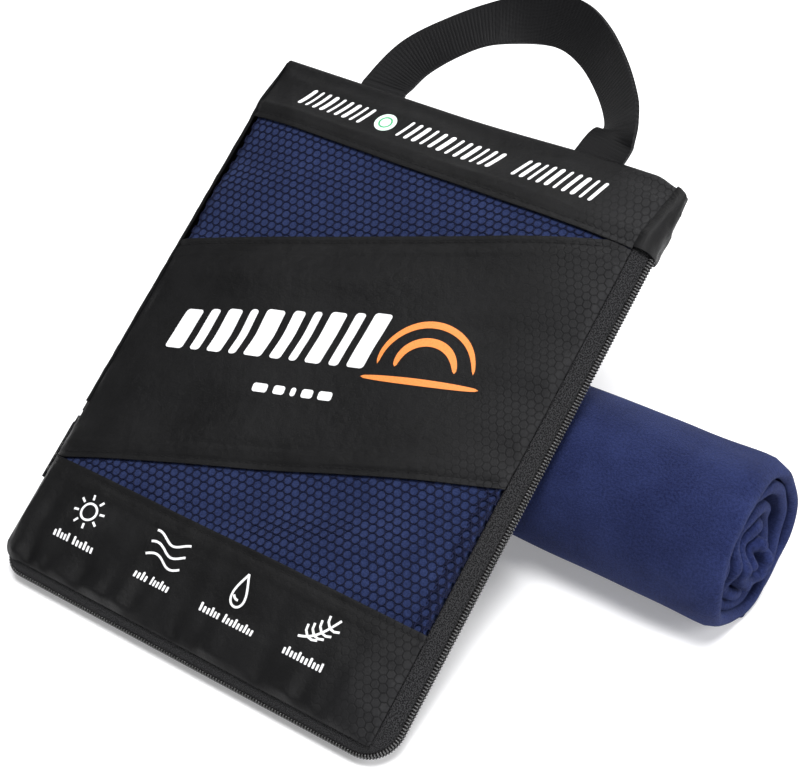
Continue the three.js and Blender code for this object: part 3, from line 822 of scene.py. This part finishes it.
def buildCoil(name, nodes, body, side):  # one flattened loop of the coil, set down along the rim
    radius, wire, top = zipSize["coilRadius"], zipSize["wire"], zipSize["coilTop"]
    bm = newMesh()
    length = rimLength(top)
    count = int(length / zipSize["loopPitch"])
    loop = bmesh.new()
    standing = Matrix.Translation((radius - wire, 0, 0)) @ Matrix.Rotation(math.pi / 2, 4, "X")
    section = bmesh.ops.create_circle(loop, segments=5, radius=wire, matrix=standing)["verts"]
    ring = section + list({edge for vert in section for edge in vert.link_edges})
    bmesh.ops.spin(loop, geom=ring, cent=(0, 0, 0), axis=(0, 0, 1), angle=2 * math.pi, steps=10,
                   use_merge=True)
    bmesh.ops.remove_doubles(loop, verts=list(loop.verts), dist=0.001)
    bmesh.ops.recalc_face_normals(loop, faces=list(loop.faces))
    shape = bpy.data.meshes.new(name + "_loop")
    loop.to_mesh(shape)
    loop.free()
    for i in range(count):
        s = (i + (0.25 if side < 0 else 0.75)) * zipSize["loopPitch"]
        x, z, inX, inZ, _ = rimAt(s, top)
        inward, along, through = Vector((inX, 0, inZ)), Vector((-inZ, 0, inX)), Vector((0, side, 0))
        lean = (along + through * 0.16).normalized()
        centre = Vector((x, 0, z)) + inward * (radius - 0.1) + through * depthAt(s)
        turn = Matrix((inward * 0.84, through * 1.0, lean)).transposed().to_4x4()
        setDown(bm, shape, Matrix.Translation(centre) @ turn)
    bpy.data.meshes.remove(shape)

    def cordAt(s, turn):
        x, z, inX, inZ, _ = rimAt(s, top)
        inward = radius - 0.1 + zipSize["cord"] * math.cos(turn)
        return (x + inX * inward, side * depthAt(s) + zipSize["cord"] * math.sin(turn), z + inZ * inward)

    addPiece(name, bm, nylon, body, "zip_coil", nodes)
    core = newMesh()
    tube = sheetGrid(core, steps(0.4, length - 0.4, 460), steps(0, 2 * math.pi, 8), cordAt)
    bmesh.ops.remove_doubles(core, verts=tube, dist=0.0005)
    bmesh.ops.holes_fill(core, edges=[edge for edge in core.edges if edge.is_boundary], sides=12)
    bmesh.ops.recalc_face_normals(core, faces=list(core.faces))
    addPiece(name.replace("loops", "cord"), core, cordThread, body, "zip_coil")


buildTape("front_zip_tape_cloth", ["front_zip_tape_fixed", "front_zip_tape_opening"], opening, -1)
buildTape("rear_zip_tape_cloth", ["rear_zip_tape"], "pouch", 1)
buildCoil("front_zip_coil_loops", ["front_zip_coil_fixed", "front_zip_coil_opening"], opening, -1)
buildCoil("rear_zip_coil_loops", ["rear_zip_coil"], "pouch", 1)


def roundedCopy(node, name, body, finish, slot, width):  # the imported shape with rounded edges
    bm = bmesh.new()
    bm.from_mesh(frame["nodes"][node].data)
    for layer in list(bm.loops.layers.uv):
        bm.loops.layers.uv.remove(layer)
    bmesh.ops.remove_doubles(bm, verts=list(bm.verts), dist=1e-6)
    bmesh.ops.dissolve_limit(bm, angle_limit=math.radians(1), verts=list(bm.verts), edges=list(bm.edges))
    bmesh.ops.bevel(bm, geom=list(bm.edges), offset=width * 0.001, affect="EDGES", segments=3, profile=0.5,
                    material=-1, clamp_overlap=True)
    bm.verts.layers.float_vector.new("cloth")
    setCloth(bm, bm.verts, lambda at, flat: (at.x * 1000, at.z * 1000, 0))
    addPiece(name, bm, finish, body, slot, [node], space=Matrix.Identity(4))


for stop in ("front_start_stop", "rear_start_stop", "end_stop"):
    roundedCopy(stop, stop + "_crimp", "pouch", lacquer, "zip_metal", 0.35)
roundedCopy("slider_body", "slider_casting", "zip_slider", lacquer, "zip_metal", 0.16)
roundedCopy("pull_tab", "pull_plate", "zip_pull", lacquer, "zip_metal", 0.2)
roundedCopy("zip_start_tab", "zip_start_tab_cloth", "pouch", fabric, "band_fabric", 0.4)
print("zip made")

handle = {"leftX": 44.7, "rightX": 141.3, "rise": 47.6, "lift": 1.4, "width": 20, "thick": 1.5,
          "ribPitch": 1.35, "rib": 0.09, "sewnIn": 13}
# share of the span, share of the rise, degrees of turn
handleRoute = [(0, 0, 0), (0.055, 0.325, 0), (0.173, 0.61, 6), (0.306, 0.83, 4), (0.479, 0.98, -15),
               (0.624, 1, -28), (0.759, 0.88, -38), (0.892, 0.66, -42), (0.985, 0.44, -42),
               (1.016, 0.29, -34), (1.012, 0.17, -8), (1, 0, 0)]


def onRoute(share):  # a smooth curve through the route's points
    spots = [Vector((handle["leftX"] + (handle["rightX"] - handle["leftX"]) * a, handle["rise"] * b, turn))
             for a, b, turn in handleRoute]
    place = share * (len(spots) - 1)
    i = min(int(place), len(spots) - 2)
    t = place - i
    before = spots[i - 1] if i else spots[0] * 2 - spots[1]
    after = spots[i + 2] if i + 2 < len(spots) else spots[-1] * 2 - spots[-2]
    a, b = spots[i], spots[i + 1]
    return 0.5 * (2 * a + (b - before) * t + (2 * before - 5 * a + 4 * b - after) * t * t
                  + (3 * a - before - 3 * b + after) * t ** 3)


def buildHandle():
    top = pouch["height"] + handle["lift"]
    spots = []  # centre, along, degrees, length so far
    count = 620
    for i in range(count + 1):
        at = onRoute(i / count)
        ahead, behind = onRoute(min(1, (i + 1) / count)), onRoute(max(0, (i - 1) / count))
        along = Vector((ahead.x - behind.x, 0, ahead.y - behind.y)).normalized()
        near = ease(0, 0.05, min(i, count - i) / count)
        along = blendOf(Vector((0, 0, 1 if i < count / 2 else -1)), along, near).normalized()
        spots.append((Vector((at.x, 0, top + at.y)), along, at.z))

    def sewn(x, way):  # an end's spots below the top edge
        return [(Vector((x, 0, top - k)), Vector((0, 0, way)), 0) for k in range(1, handle["sewnIn"] + 1)]

    spots = sewn(handle["leftX"], 1)[::-1] + spots + sewn(handle["rightX"], -1)
    lengths = [0]
    for before, after in zip(spots, spots[1:]):
        lengths.append(lengths[-1] + (after[0] - before[0]).length)

    def placeAt(across, index):
        centre, along, degrees = spots[int(index)]
        inward = Vector((along.z, 0, -along.x))
        turn = math.radians(degrees)
        wide = inward * math.cos(turn) + Vector((0, -1, 0)) * math.sin(turn)
        through = along.cross(wide)
        rib = handle["rib"] * math.sin(2 * math.pi * lengths[int(index)] / handle["ribPitch"])
        selvedge = ease(handle["width"] / 2 - 1.2, handle["width"] / 2 - 0.4, abs(across))
        wave = 0.35 * noise.noise(Vector((lengths[int(index)] / 24, across / 14, 4.5)))
        wave *= ease(2, 14, min(lengths[int(index)], lengths[-1] - lengths[int(index)]) - handle["sewnIn"])
        return centre + wide * across + through * (rib * (1 - selvedge) + wave)

    low, high = toWorld @ Vector((90, 0, top - 1.5)), toWorld @ Vector((90, 0, top + 3))
    clothPiece("handle_webbing", easedSteps(-handle["width"] / 2, handle["width"] / 2, 12),
               list(range(len(spots))), placeAt, lambda at, flat: (flat.x, lengths[int(flat.y)], 0),
               webbing, ("pouch", "handle", low, high), "webbing",
               ["handle_strap", "left_handle_end", "right_handle_end"],
               thick=handle["thick"], edge=0.3, offset=0)


buildHandle()
print("handle made")

towel = {"width": 305, "length": 610}


def foldShape(s, radius):  # s mm from a fold's middle: how far behind its edge, and how far to one side
    reach = radius * math.pi / 2
    side = 1 if s > 0 else -1
    if abs(s) < reach:
        return radius * (1 - math.cos(s / radius)), radius * math.sin(s / radius)
    return radius + abs(s) - reach, side * radius


def foldSteps(start, end, radius, coarse, fine):  # stations close together round the fold, which is at 0
    reach = radius * math.pi / 2
    return steps(start, -reach, coarse)[:-1] + steps(-reach, reach, fine) + steps(reach, end, coarse)[1:]


folded = {"spacing": 3.2, "thick": 1.25, "double": 0.78}
foldedBox = localBox("folded_towel")


def insideSeams(x, z, least):  # moves a point in from the seams until it is this far inside
    for _ in range(3):
        short = least - seamDistance(x, z)
        if short > 0:
            slopeX = seamDistance(x + 0.05, z) - seamDistance(x - 0.05, z)
            slopeZ = seamDistance(x, z + 0.05) - seamDistance(x, z - 0.05)
            size = math.hypot(slopeX, slopeZ) or 1
            x, z = x + short * slopeX / size, z + short * slopeZ / size
    return x, z


def buildFoldedTowel():
    right, bottom = foldedBox[1][0], foldedBox[0][2]
    front = right - foldedBox[0][0]  # the front half is the wider one
    radius = folded["spacing"] / 2
    bend = radius * math.pi
    run = (towel["length"] - 2 * bend) / 3
    marks = [run, run + bend, 2 * run + bend, 2 * run + 2 * bend]
    stations = (steps(0, run, 44) + steps(run, marks[1], 8)[1:] + steps(marks[1], marks[2], 10)[1:]
                + steps(marks[2], marks[3], 8)[1:] + steps(marks[3], towel["length"], 10)[1:])

    def runAt(s):  # z, y, and the cloth's normal in z and y
        low, high = bottom + radius, bottom + radius + run
        gap = folded["spacing"]
        if s <= marks[0]:
            return low + s, -gap, 0, -1
        if s <= marks[1]:
            turn = (s - marks[0]) / radius
            sine, cosine = math.sin(turn), math.cos(turn)
            return high + radius * sine, -gap / 2 - radius * cosine, sine, -cosine
        if s <= marks[2]:
            return high - (s - marks[1]), 0, 0, 1
        if s <= marks[3]:
            turn = (s - marks[2]) / radius
            sine, cosine = math.sin(turn), math.cos(turn)
            return low - radius * sine, gap / 2 - radius * cosine, sine, cosine
        return low + (s - marks[3]), gap, 0, -1

    def placeAt(v, s):
        back, lift = foldShape(v, folded["double"])
        z, y, normalZ, normalY = runAt(s)
        x = right - folded["thick"] / 2 - back * 1.018
        z += normalZ * lift
        y += normalY * lift
        x, z = insideSeams(x, z, 1.9)
        netBack = frontDepth(x, z) + net["behind"] + net["thick"] + folded["thick"] / 2 + 0.06
        return (x, blendOf(y, netBack, ease(2.6, 3.6, -y)), z)

    across = foldSteps(front - towel["width"], front, folded["double"], 40, 6)
    # the folded towel takes the lighter suede copy, painted light against the net's shade
    piece = clothPiece("folded_towel_cloth", across, stations, placeAt, lambda at, flat: flat,
                       brightenedSuede, "pouch", "towel", ["folded_towel"], thick=folded["thick"], offset=0)


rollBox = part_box("rolled_towel")
roll = {"right": rollBox[1].x * 1000, "radius": (rollBox[1].y - rollBox[0].y) * 500,
        "y": (rollBox[0].y + rollBox[1].y) * 500, "rest": 30.8, "pitch": 5.5, "core": 3.2, "layer": 2.0,
        "double": 1.25, "coreShift": Vector((-2.6, -3.4)), "tailTurn": math.radians(-100), "flare": 3.4,
        "lengthScale": 1.28}


def rollLine():  # the doubled cloth's spiral: angle and length so far, from the outer end to the core
    start = roll["radius"] - roll["double"] - roll["layer"] / 2 - 0.1
    spots, length, turn = [], 0.0, 0.0
    while True:
        radius = start - roll["pitch"] * turn / (2 * math.pi)
        spots.append((turn, radius, length))
        if radius <= roll["core"]:
            return spots
        step = min(0.075, 1.6 / radius)
        length += radius * step
        turn += step


def buildRoll():
    spots = rollLine()
    total = spots[-1][0]

    def placeAt(v, index):
        turn, radius, _ = spots[int(index)]
        back, lift = foldShape(v, roll["double"])
        angle = roll["tailTurn"] + turn
        share = turn / total
        lap = turn / (2 * math.pi)
        here = Vector((math.cos(angle), math.sin(angle), lap * 0.42))
        near = 1 - ease(0, 62, back)
        lip = 2.0 * noise.noise(here * 1.5 + Vector((3, 8, 0)))
        lip -= 5.5 * ease(0.7, 2.4, lap) * (0.55 + noise.noise(here * 1.1))
        lip += 5.5 * ease(3.0, 4.4, lap)
        x = roll["right"] - back + lip * near - 0.2
        crumple = 1.6 * noise.noise(here * 1.35 + Vector((0, 0, 20 + back / 60))) * near
        crumple *= ease(0, 0.8, lap + 0.25)
        crumple += 0.5 * noise.noise(here * 3.4 + Vector((0, 0, 40 + back / 22))) * (0.35 + near)
        flare = roll["flare"] * ease(170, 60, back) * (1 - 0.6 * ease(0.9, 2.6, lap))
        reach = radius + lift * (1 + 0.2 * near) + crumple + flare
        reach -= 1.6 * (1 - ease(0, 5.5, back)) * (1 - ease(0.6, 1.6, lap))
        shift = roll["coreShift"] * share * (0.35 + 0.65 * near)
        y = roll["y"] + shift.x + reach * math.cos(angle)
        z = roll["rest"] + shift.y + reach * math.sin(angle)
        lowest = roll["layer"] / 2 + 0.05 + max(0, roll["double"] - lift)
        lowest += roll["pitch"] * 0.8 * max(0, lap - 0.9)
        return (x, y, max(z, lowest) if math.sin(angle) < 0 else z)

    across = foldSteps(-towel["width"] / 2, towel["width"] / 2, roll["double"], 44, 8)
    piece = clothPiece("rolled_towel_cloth", across, list(range(len(spots))), placeAt,
                       lambda at, flat: (flat.x, spots[int(flat.y)][2] * roll["lengthScale"], 0),
                       suede, "roll", "towel", ["rolled_towel"],
                       thick=roll["layer"], offset=0, space=millimetres)
    overlock = newMesh()
    last, half = len(spots) - 1, towel["width"] / 2
    for v in steps(-half + 1, half - 1, 150):
        for index, inner in ((0, 2), (last, last - 2)):
            threadBead(overlock, Vector(placeAt(v, index)), Vector(placeAt(v, inner)), (0.28, 1.35, 1.15))
    for index in range(last):
        for v in (-half, half):
            inner = Vector(placeAt(v * 0.98, index))
            threadBead(overlock, Vector(placeAt(v, index)), inner, (0.28, 1.3, 1.15))
    stitched = addPiece("rolled_towel_overlock", overlock, navyThread, "roll", "towel", space=millimetres)


buildFoldedTowel()
buildRoll()
print("towels made")

stitch = {"pitch": 2.9, "long": 1.15, "wide": 0.22, "high": 0.2}


def stitchRow(bm, start, end, heightAt):  # along a straight line in x and z, sunk in the hem's groove
    line = Vector(end) - Vector(start)
    count = max(1, int(line.length / stitch["pitch"]))
    for i in range(count):
        x, z = Vector(start) + line * ((i + 0.5) / count)
        step = line.normalized() * 0.7
        here = Vector((x, heightAt(x, z), z))
        ahead = Vector((x + step.x, heightAt(x + step.x, z + step.y), z + step.y))
        threadBead(bm, here, ahead, (stitch["wide"], stitch["long"], stitch["high"]))


def surfaceOf(relief):
    return lambda x, z: frontDepth(x, z) + relief(x, z) - 0.02


def buildStitching():
    inset = bands["stitchIn"]
    endX = panelRight - 1.5
    startX = panelLeft + 1
    rise = inset / slopeScale
    top = newMesh()
    level = bands["topHem"] + inset
    stitchRow(top, (startX, level), (endX, level), surfaceOf(topHemRelief))
    addPiece("top_band_stitching", top, blackThread, "pouch", "band_fabric")
    sash = newMesh()
    highX = (bands["topHem"] - sashHigh(0) + rise) / slope
    lowX = (bands["bottomHem"] - sashLow(0)) / bands["lowSlope"] + 1
    highX -= 9
    stitchRow(sash, (startX, sashHigh(startX) - rise), (highX, sashHigh(highX) - rise), surfaceOf(sashRelief))
    stitchRow(sash, (lowX, sashLow(lowX) + rise), (endX, sashLow(endX) + rise), surfaceOf(sashRelief))
    addPiece("sash_stitching", sash, blackThread, opening, "band_fabric")
    bottom = newMesh()
    level = bands["bottomHem"] - inset
    stitchRow(bottom, (startX, level), (endX, level), surfaceOf(bottomHemRelief))
    addPiece("bottom_band_stitching", bottom, blackThread, opening, "band_fabric")
    hemX = panelRight - 0.7 - net["hemWidth"] + 0.5

    def netFace(x, z):
        return frontDepth(x, z) + net["behind"] - 0.5

    lower = newMesh()
    for x in (hemX, panelRight - 2.2):
        stitchRow(lower, (x, bands["bottomHem"]), (x, sashLow(x)), netFace)
    addPiece("lower_net_stitching", lower, netThread, opening, "net")


buildStitching()

ink = {"proud": 0.16, "thick": 0.12}


def onCloth(bm, relief):  # lays flat shapes on the front's cloth
    for vert in bm.verts:
        x, z = vert.co.x, vert.co.y
        vert.co = (x, frontDepth(x, z) + relief(x, z) - ink["proud"], z + topLift(x, z))
    for face in bm.faces:
        face.normal_update()
    inwards = [face for face in bm.faces if face.normal.y > 0]
    bmesh.ops.reverse_faces(bm, faces=inwards)


def printPiece(name, bm, finish, body, relief, over=0.0):  # over lifts it above other print
    onCloth(bm, relief)
    bmesh.ops.translate(bm, verts=list(bm.verts), vec=(0, -over, 0))
    addPiece(name, bm, finish, body, "band_fabric", thick=ink["thick"], sharp=True)


def nearest(value):
    return int(value + 0.5)


def block(bm, centre, size, lean=0.0, turn=0.0, corner=1.2):  # a slanted block with rounded corners
    halfWide, halfTall = size[0] / 2, size[1] / 2
    rows = [-halfTall + corner * (1 - math.cos(math.pi / 2 * k / 5)) for k in range(6)]
    rows += steps(rows[-1], -rows[-1], max(2, nearest(size[1])))[1:]
    rows += [-value for value in reversed(rows[:5])]
    cosine, sine = math.cos(turn), math.sin(turn)

    def placeAt(u, v):
        into = max(0.0, abs(v) - (halfTall - corner))
        wide = halfWide - corner + math.sqrt(max(0.0, corner * corner - into * into))
        x, z = u * wide + lean * v, v
        return (centre[0] + x * cosine - z * sine, centre[1] + x * sine + z * cosine, 0)

    made = sheetGrid(bm, steps(-1, 1, max(4, nearest(size[0]))), rows, placeAt)
    setCloth(bm, made, lambda at, flat: (at.x, at.y, 0))


def stroke(bm, route, widthAt):  # a line of print: its end edge is extruded from point to point
    cloth = bm.verts.layers.float_vector["cloth"]
    pair = [bm.verts.new((0, 0, 0)), bm.verts.new((0, 0, 0))]
    edge = bm.edges.new(pair)
    for i, at in enumerate(route):
        ahead = Vector(route[min(i + 1, len(route) - 1)]) - Vector(route[max(i - 1, 0)])
        across = Vector((-ahead.y, ahead.x)).normalized() * (widthAt(i / (len(route) - 1)) / 2)
        if i:
            grown = bmesh.ops.extrude_edge_only(bm, edges=[edge])["geom"]
            pair = pairAfter(edge, grown)
            edges = [part for part in grown if isinstance(part, bmesh.types.BMEdge)]
            edge = next(part for part in edges if all(vert in pair for vert in part.verts))
        for vert, sign in zip(pair, (1, -1)):
            vert.co = (at[0] + sign * across.x, at[1] + sign * across.y, 0)
            vert[cloth] = (vert.co.x, vert.co.y, 0)


def pairAfter(edge, grown):  # the new ends of an extruded edge, in the old ends' order
    fresh = [part for part in grown if isinstance(part, bmesh.types.BMVert) and part not in edge.verts]
    return [next(vert for vert in fresh if any(link.other_vert(vert) is old for link in vert.link_edges))
            for old in edge.verts]


def arc(centre, radius, start, end, count):
    return [(centre[0] + radius * math.cos(math.radians(a)), centre[1] + radius * math.sin(math.radians(a)))
            for a in steps(start, end, count)]


header = {"level": 215.3, "tall": 8.6, "groups": ((18, 50, 9), (65, 109, 12), (117, 153, 10)),
          "discX": 57.5, "discRadius": 4.4, "ringRadius": 2.5, "ringLine": 0.7, "over": 0.08}


def buildHeader():
    bars = newMesh()
    level, radius = header["level"], header["discRadius"]
    for number, (left, right, count) in enumerate(header["groups"]):
        pitch = (right - left) / count
        for i in range(count):
            wide = pitch * (0.5, 0.3, 0.4)[(i + number) % 3]
            spot = (left + pitch * (i + 0.5), level)
            block(bars, spot, (wide, header["tall"]), lean=0.3, corner=min(0.9, wide / 2))
    printPiece("header_bars", bars, whiteInk, "pouch", topHemRelief)
    disc = newMesh()
    stroke(disc, [(header["discX"], level - radius * math.cos(math.pi * t)) for t in steps(0.04, 0.96, 24)],
           lambda t: 2 * radius * math.sin(math.pi * (0.04 + 0.92 * t)))
    printPiece("header_disc", disc, mintInk, "pouch", topHemRelief)
    ring = newMesh()
    circle = arc((header["discX"], level), header["ringRadius"], 0, 360, 28)
    stroke(ring, circle, lambda t: header["ringLine"])
    printPiece("header_disc_ring", ring, greenInk, "pouch", topHemRelief, header["over"])


centre = {"slope": 0.265, "barsLeft": 22.5, "barsLevel": 100.4, "barGap": 3.1, "barTall": 16.5,
          "barGrow": 0.6, "bars": (7.5, 4, 6, 3.2, 7.5, 4.6, 3.2, 6.4, 4, 7), "sun": (126, 123.5),
          "sunArcs": ((18.5, 2.6), (11.5, 3.4)), "sunHalf": 22, "lineLevel": 99.8, "lineTall": 3.4,
          "line": ((69.5, 6), (77, 4.5), (82.5, 2), (88, 4.5), (95, 5.5))}


def buildCentre():
    rising = centre["slope"]
    turn = math.atan(rising)
    bars = newMesh()
    left = centre["barsLeft"]
    for i, wide in enumerate(centre["bars"]):
        tall = centre["barTall"] + centre["barGrow"] * i
        x = left + wide / 2
        spot = (x, centre["barsLevel"] + rising * (x - 20) + tall / 2)
        block(bars, spot, (wide, tall), lean=0.28, turn=turn * 0.9, corner=1.3)
        left += wide + centre["barGap"]
    printPiece("centre_bars", bars, whiteInk, opening, sashRelief)
    sun = newMesh()
    sunX, sunZ = centre["sun"]
    middle = (sunX, sunZ + rising * (sunX - 104))
    tilt = math.degrees(turn)
    half = centre["sunHalf"]
    for radius, wide in centre["sunArcs"]:
        stroke(sun, arc(middle, radius, tilt + 4, tilt + 176, 40),
               lambda t, wide=wide: wide * math.sin(math.pi * t) ** 0.35)
    stroke(sun, [(middle[0] + half * t, middle[1] - 4.2 + rising * half * t) for t in steps(-1, 1, 40)],
           lambda t: 2.6 * math.sin(math.pi * t) ** 0.35)
    printPiece("centre_sun", sun, orangeInk, opening, sashRelief)
    line = newMesh()
    for x, wide in centre["line"]:
        spot = (x, centre["lineLevel"] + rising * (x - 66))
        block(line, spot, (wide, centre["lineTall"]), lean=0.1, turn=turn, corner=1.0)
    printPiece("centre_small_bars", line, whiteInk, opening, sashRelief)


picture = {"line": 0.85, "places": (31, 69, 104, 138), "level": 32.5, "tickLevel": 19.2, "tickPitch": 1.55,
           "tickGap": 1.4, "ticks": ((5, 6), (4, 6), (6, 9), (11,))}  # ticks in each group, by picture


def buildPictograms():
    marks = newMesh()

    def fine(share):
        return picture["line"]

    sunX, waveX, dropX, sprigX = picture["places"]
    level, pitch, gap = picture["level"], picture["tickPitch"], picture["tickGap"]
    stroke(marks, arc((sunX, level), 3.2, 0, 360, 28), fine)
    for k in range(8):
        a = math.radians(45 * k + 10)
        stroke(marks, [(sunX + r * math.cos(a), level + r * math.sin(a)) for r in (4.6, 5.6, 6.6)], fine)
    for k in range(3):
        wave = [(waveX - 8 + 16 * t, level - 4 + 4 * k + 1.5 * math.sin(2 * math.pi * t + 0.6 * k))
                for t in steps(0, 1, 22)]
        stroke(marks, wave, fine)
    drop = [(dropX + 4.0 * math.sin(a) * math.sin(a / 2) ** 1.5, level - 0.5 - 6.2 * math.cos(math.pi - a))
            for a in steps(0, 2 * math.pi, 34)]
    stroke(marks, drop, fine)
    stroke(marks, arc((dropX, level - 2.2), 2.0, 200, 280, 8), fine)
    stem = [(sprigX - 6 + 12 * t, level - 5.5 + 11 * t - 2.5 * math.sin(math.pi * t))
            for t in steps(0, 1, 18)]
    stroke(marks, stem, fine)
    for k in range(4):
        x, z = stem[5 + 3 * k]
        stroke(marks, [(x, z), (x - 1.6, z + 1.8), (x - 1.9, z + 4.0)], fine)
        stroke(marks, [(x, z), (x + 2.0, z - 0.4), (x + 4.0, z + 0.2)], fine)
    for x, groups in zip(picture["places"], picture["ticks"]):
        left = x - (sum(groups) * pitch + gap * (len(groups) - 1)) / 2
        for count in groups:
            for i in range(count):
                tall = (3.2, 2.3, 2.3)[(i + count) % 3]
                block(marks, (left + 0.5, picture["tickLevel"] + tall / 2), (0.9, tall), corner=0.35)
                left += pitch
            left += gap
    printPiece("pictograms", marks, whiteInk, opening, bottomHemRelief)


buildHeader()
buildCentre()
buildPictograms()
print("stitching and print made")

stage = {"floor": 6, "paper": colour(236, 236, 237), "glow": 0.3, "world": 0.3}
lamps = {"overhead": ((0.35, -0.25, 1.4), (0.5, 0.5), 24), "rightSoft": ((1.2, 0.3, 0.6), (0.5, 0.6), 10),
         "backSoft": ((-0.3, 1.2, 1.0), (0.9, 0.5), 9)}  # place, size in metres, watts
camera = {"place": (0.3192, -0.4215, 0.5233), "azimuth": 38.92, "elevation": 41.41, "roll": -5.37,
          "lens": 86.3}


def buildStage():
    floorMesh = newMesh()
    bmesh.ops.create_grid(floorMesh, x_segments=1, y_segments=1, size=stage["floor"] / 2)
    mesh = bpy.data.meshes.new("floor")
    floorMesh.to_mesh(mesh)
    floorMesh.free()
    paper = Finish("paper", Roughness=0.8, Specular_IOR_Level=0.2)
    sockets = paper.shader.node.inputs
    sockets["Base Color"].default_value = sockets["Emission Color"].default_value = stage["paper"]
    sockets["Emission Strength"].default_value = stage["glow"]
    mesh.materials.append(paper.material)
    floor = bpy.data.objects.new("floor", mesh)
    bpy.context.scene.collection.objects.link(floor)


def addLight(name, place, size, power):
    data = bpy.data.lights.new(name, "AREA")
    data.shape = "RECTANGLE"
    data.size, data.size_y = size
    data.energy = power
    light = bpy.data.objects.new(name, data)
    light.location = place
    light.rotation_euler = (Vector((0, 0, 0.05)) - Vector(place)).to_track_quat("-Z", "Y").to_euler()
    bpy.context.scene.collection.objects.link(light)


def buildLights():
    world = bpy.data.worlds.new("studio")
    world.use_nodes = True
    backdrop = world.node_tree.nodes["Background"]
    backdrop.inputs["Color"].default_value = (1, 1, 1, 1)
    backdrop.inputs["Strength"].default_value = stage["world"]
    bpy.context.scene.world = world
    for name, (place, size, power) in lamps.items():
        addLight(name, place, size, power)
    bpy.context.scene.view_settings.view_transform = "Standard"


def buildCamera():
    azimuth, elevation, lean = (math.radians(camera[key]) for key in ("azimuth", "elevation", "roll"))
    level = Vector((math.cos(azimuth), math.sin(azimuth), 0))
    outward = Vector((math.sin(azimuth), -math.cos(azimuth), 0))
    away = outward * math.cos(elevation) + Vector((0, 0, math.sin(elevation)))
    upward = away.cross(level)
    right = level * math.cos(lean) + upward * math.sin(lean)
    up = away.cross(right)
    data = bpy.data.cameras.new("camera")
    data.lens = camera["lens"]
    data.sensor_width = 36
    data.clip_start, data.clip_end = 0.02, 20
    eye = bpy.data.objects.new("camera", data)
    eye.matrix_world = Matrix.Translation(camera["place"]) @ Matrix((right, up, away)).transposed().to_4x4()
    bpy.context.scene.collection.objects.link(eye)
    bpy.context.scene.camera = eye


buildStage()
buildLights()
buildCamera()

print("stage made")
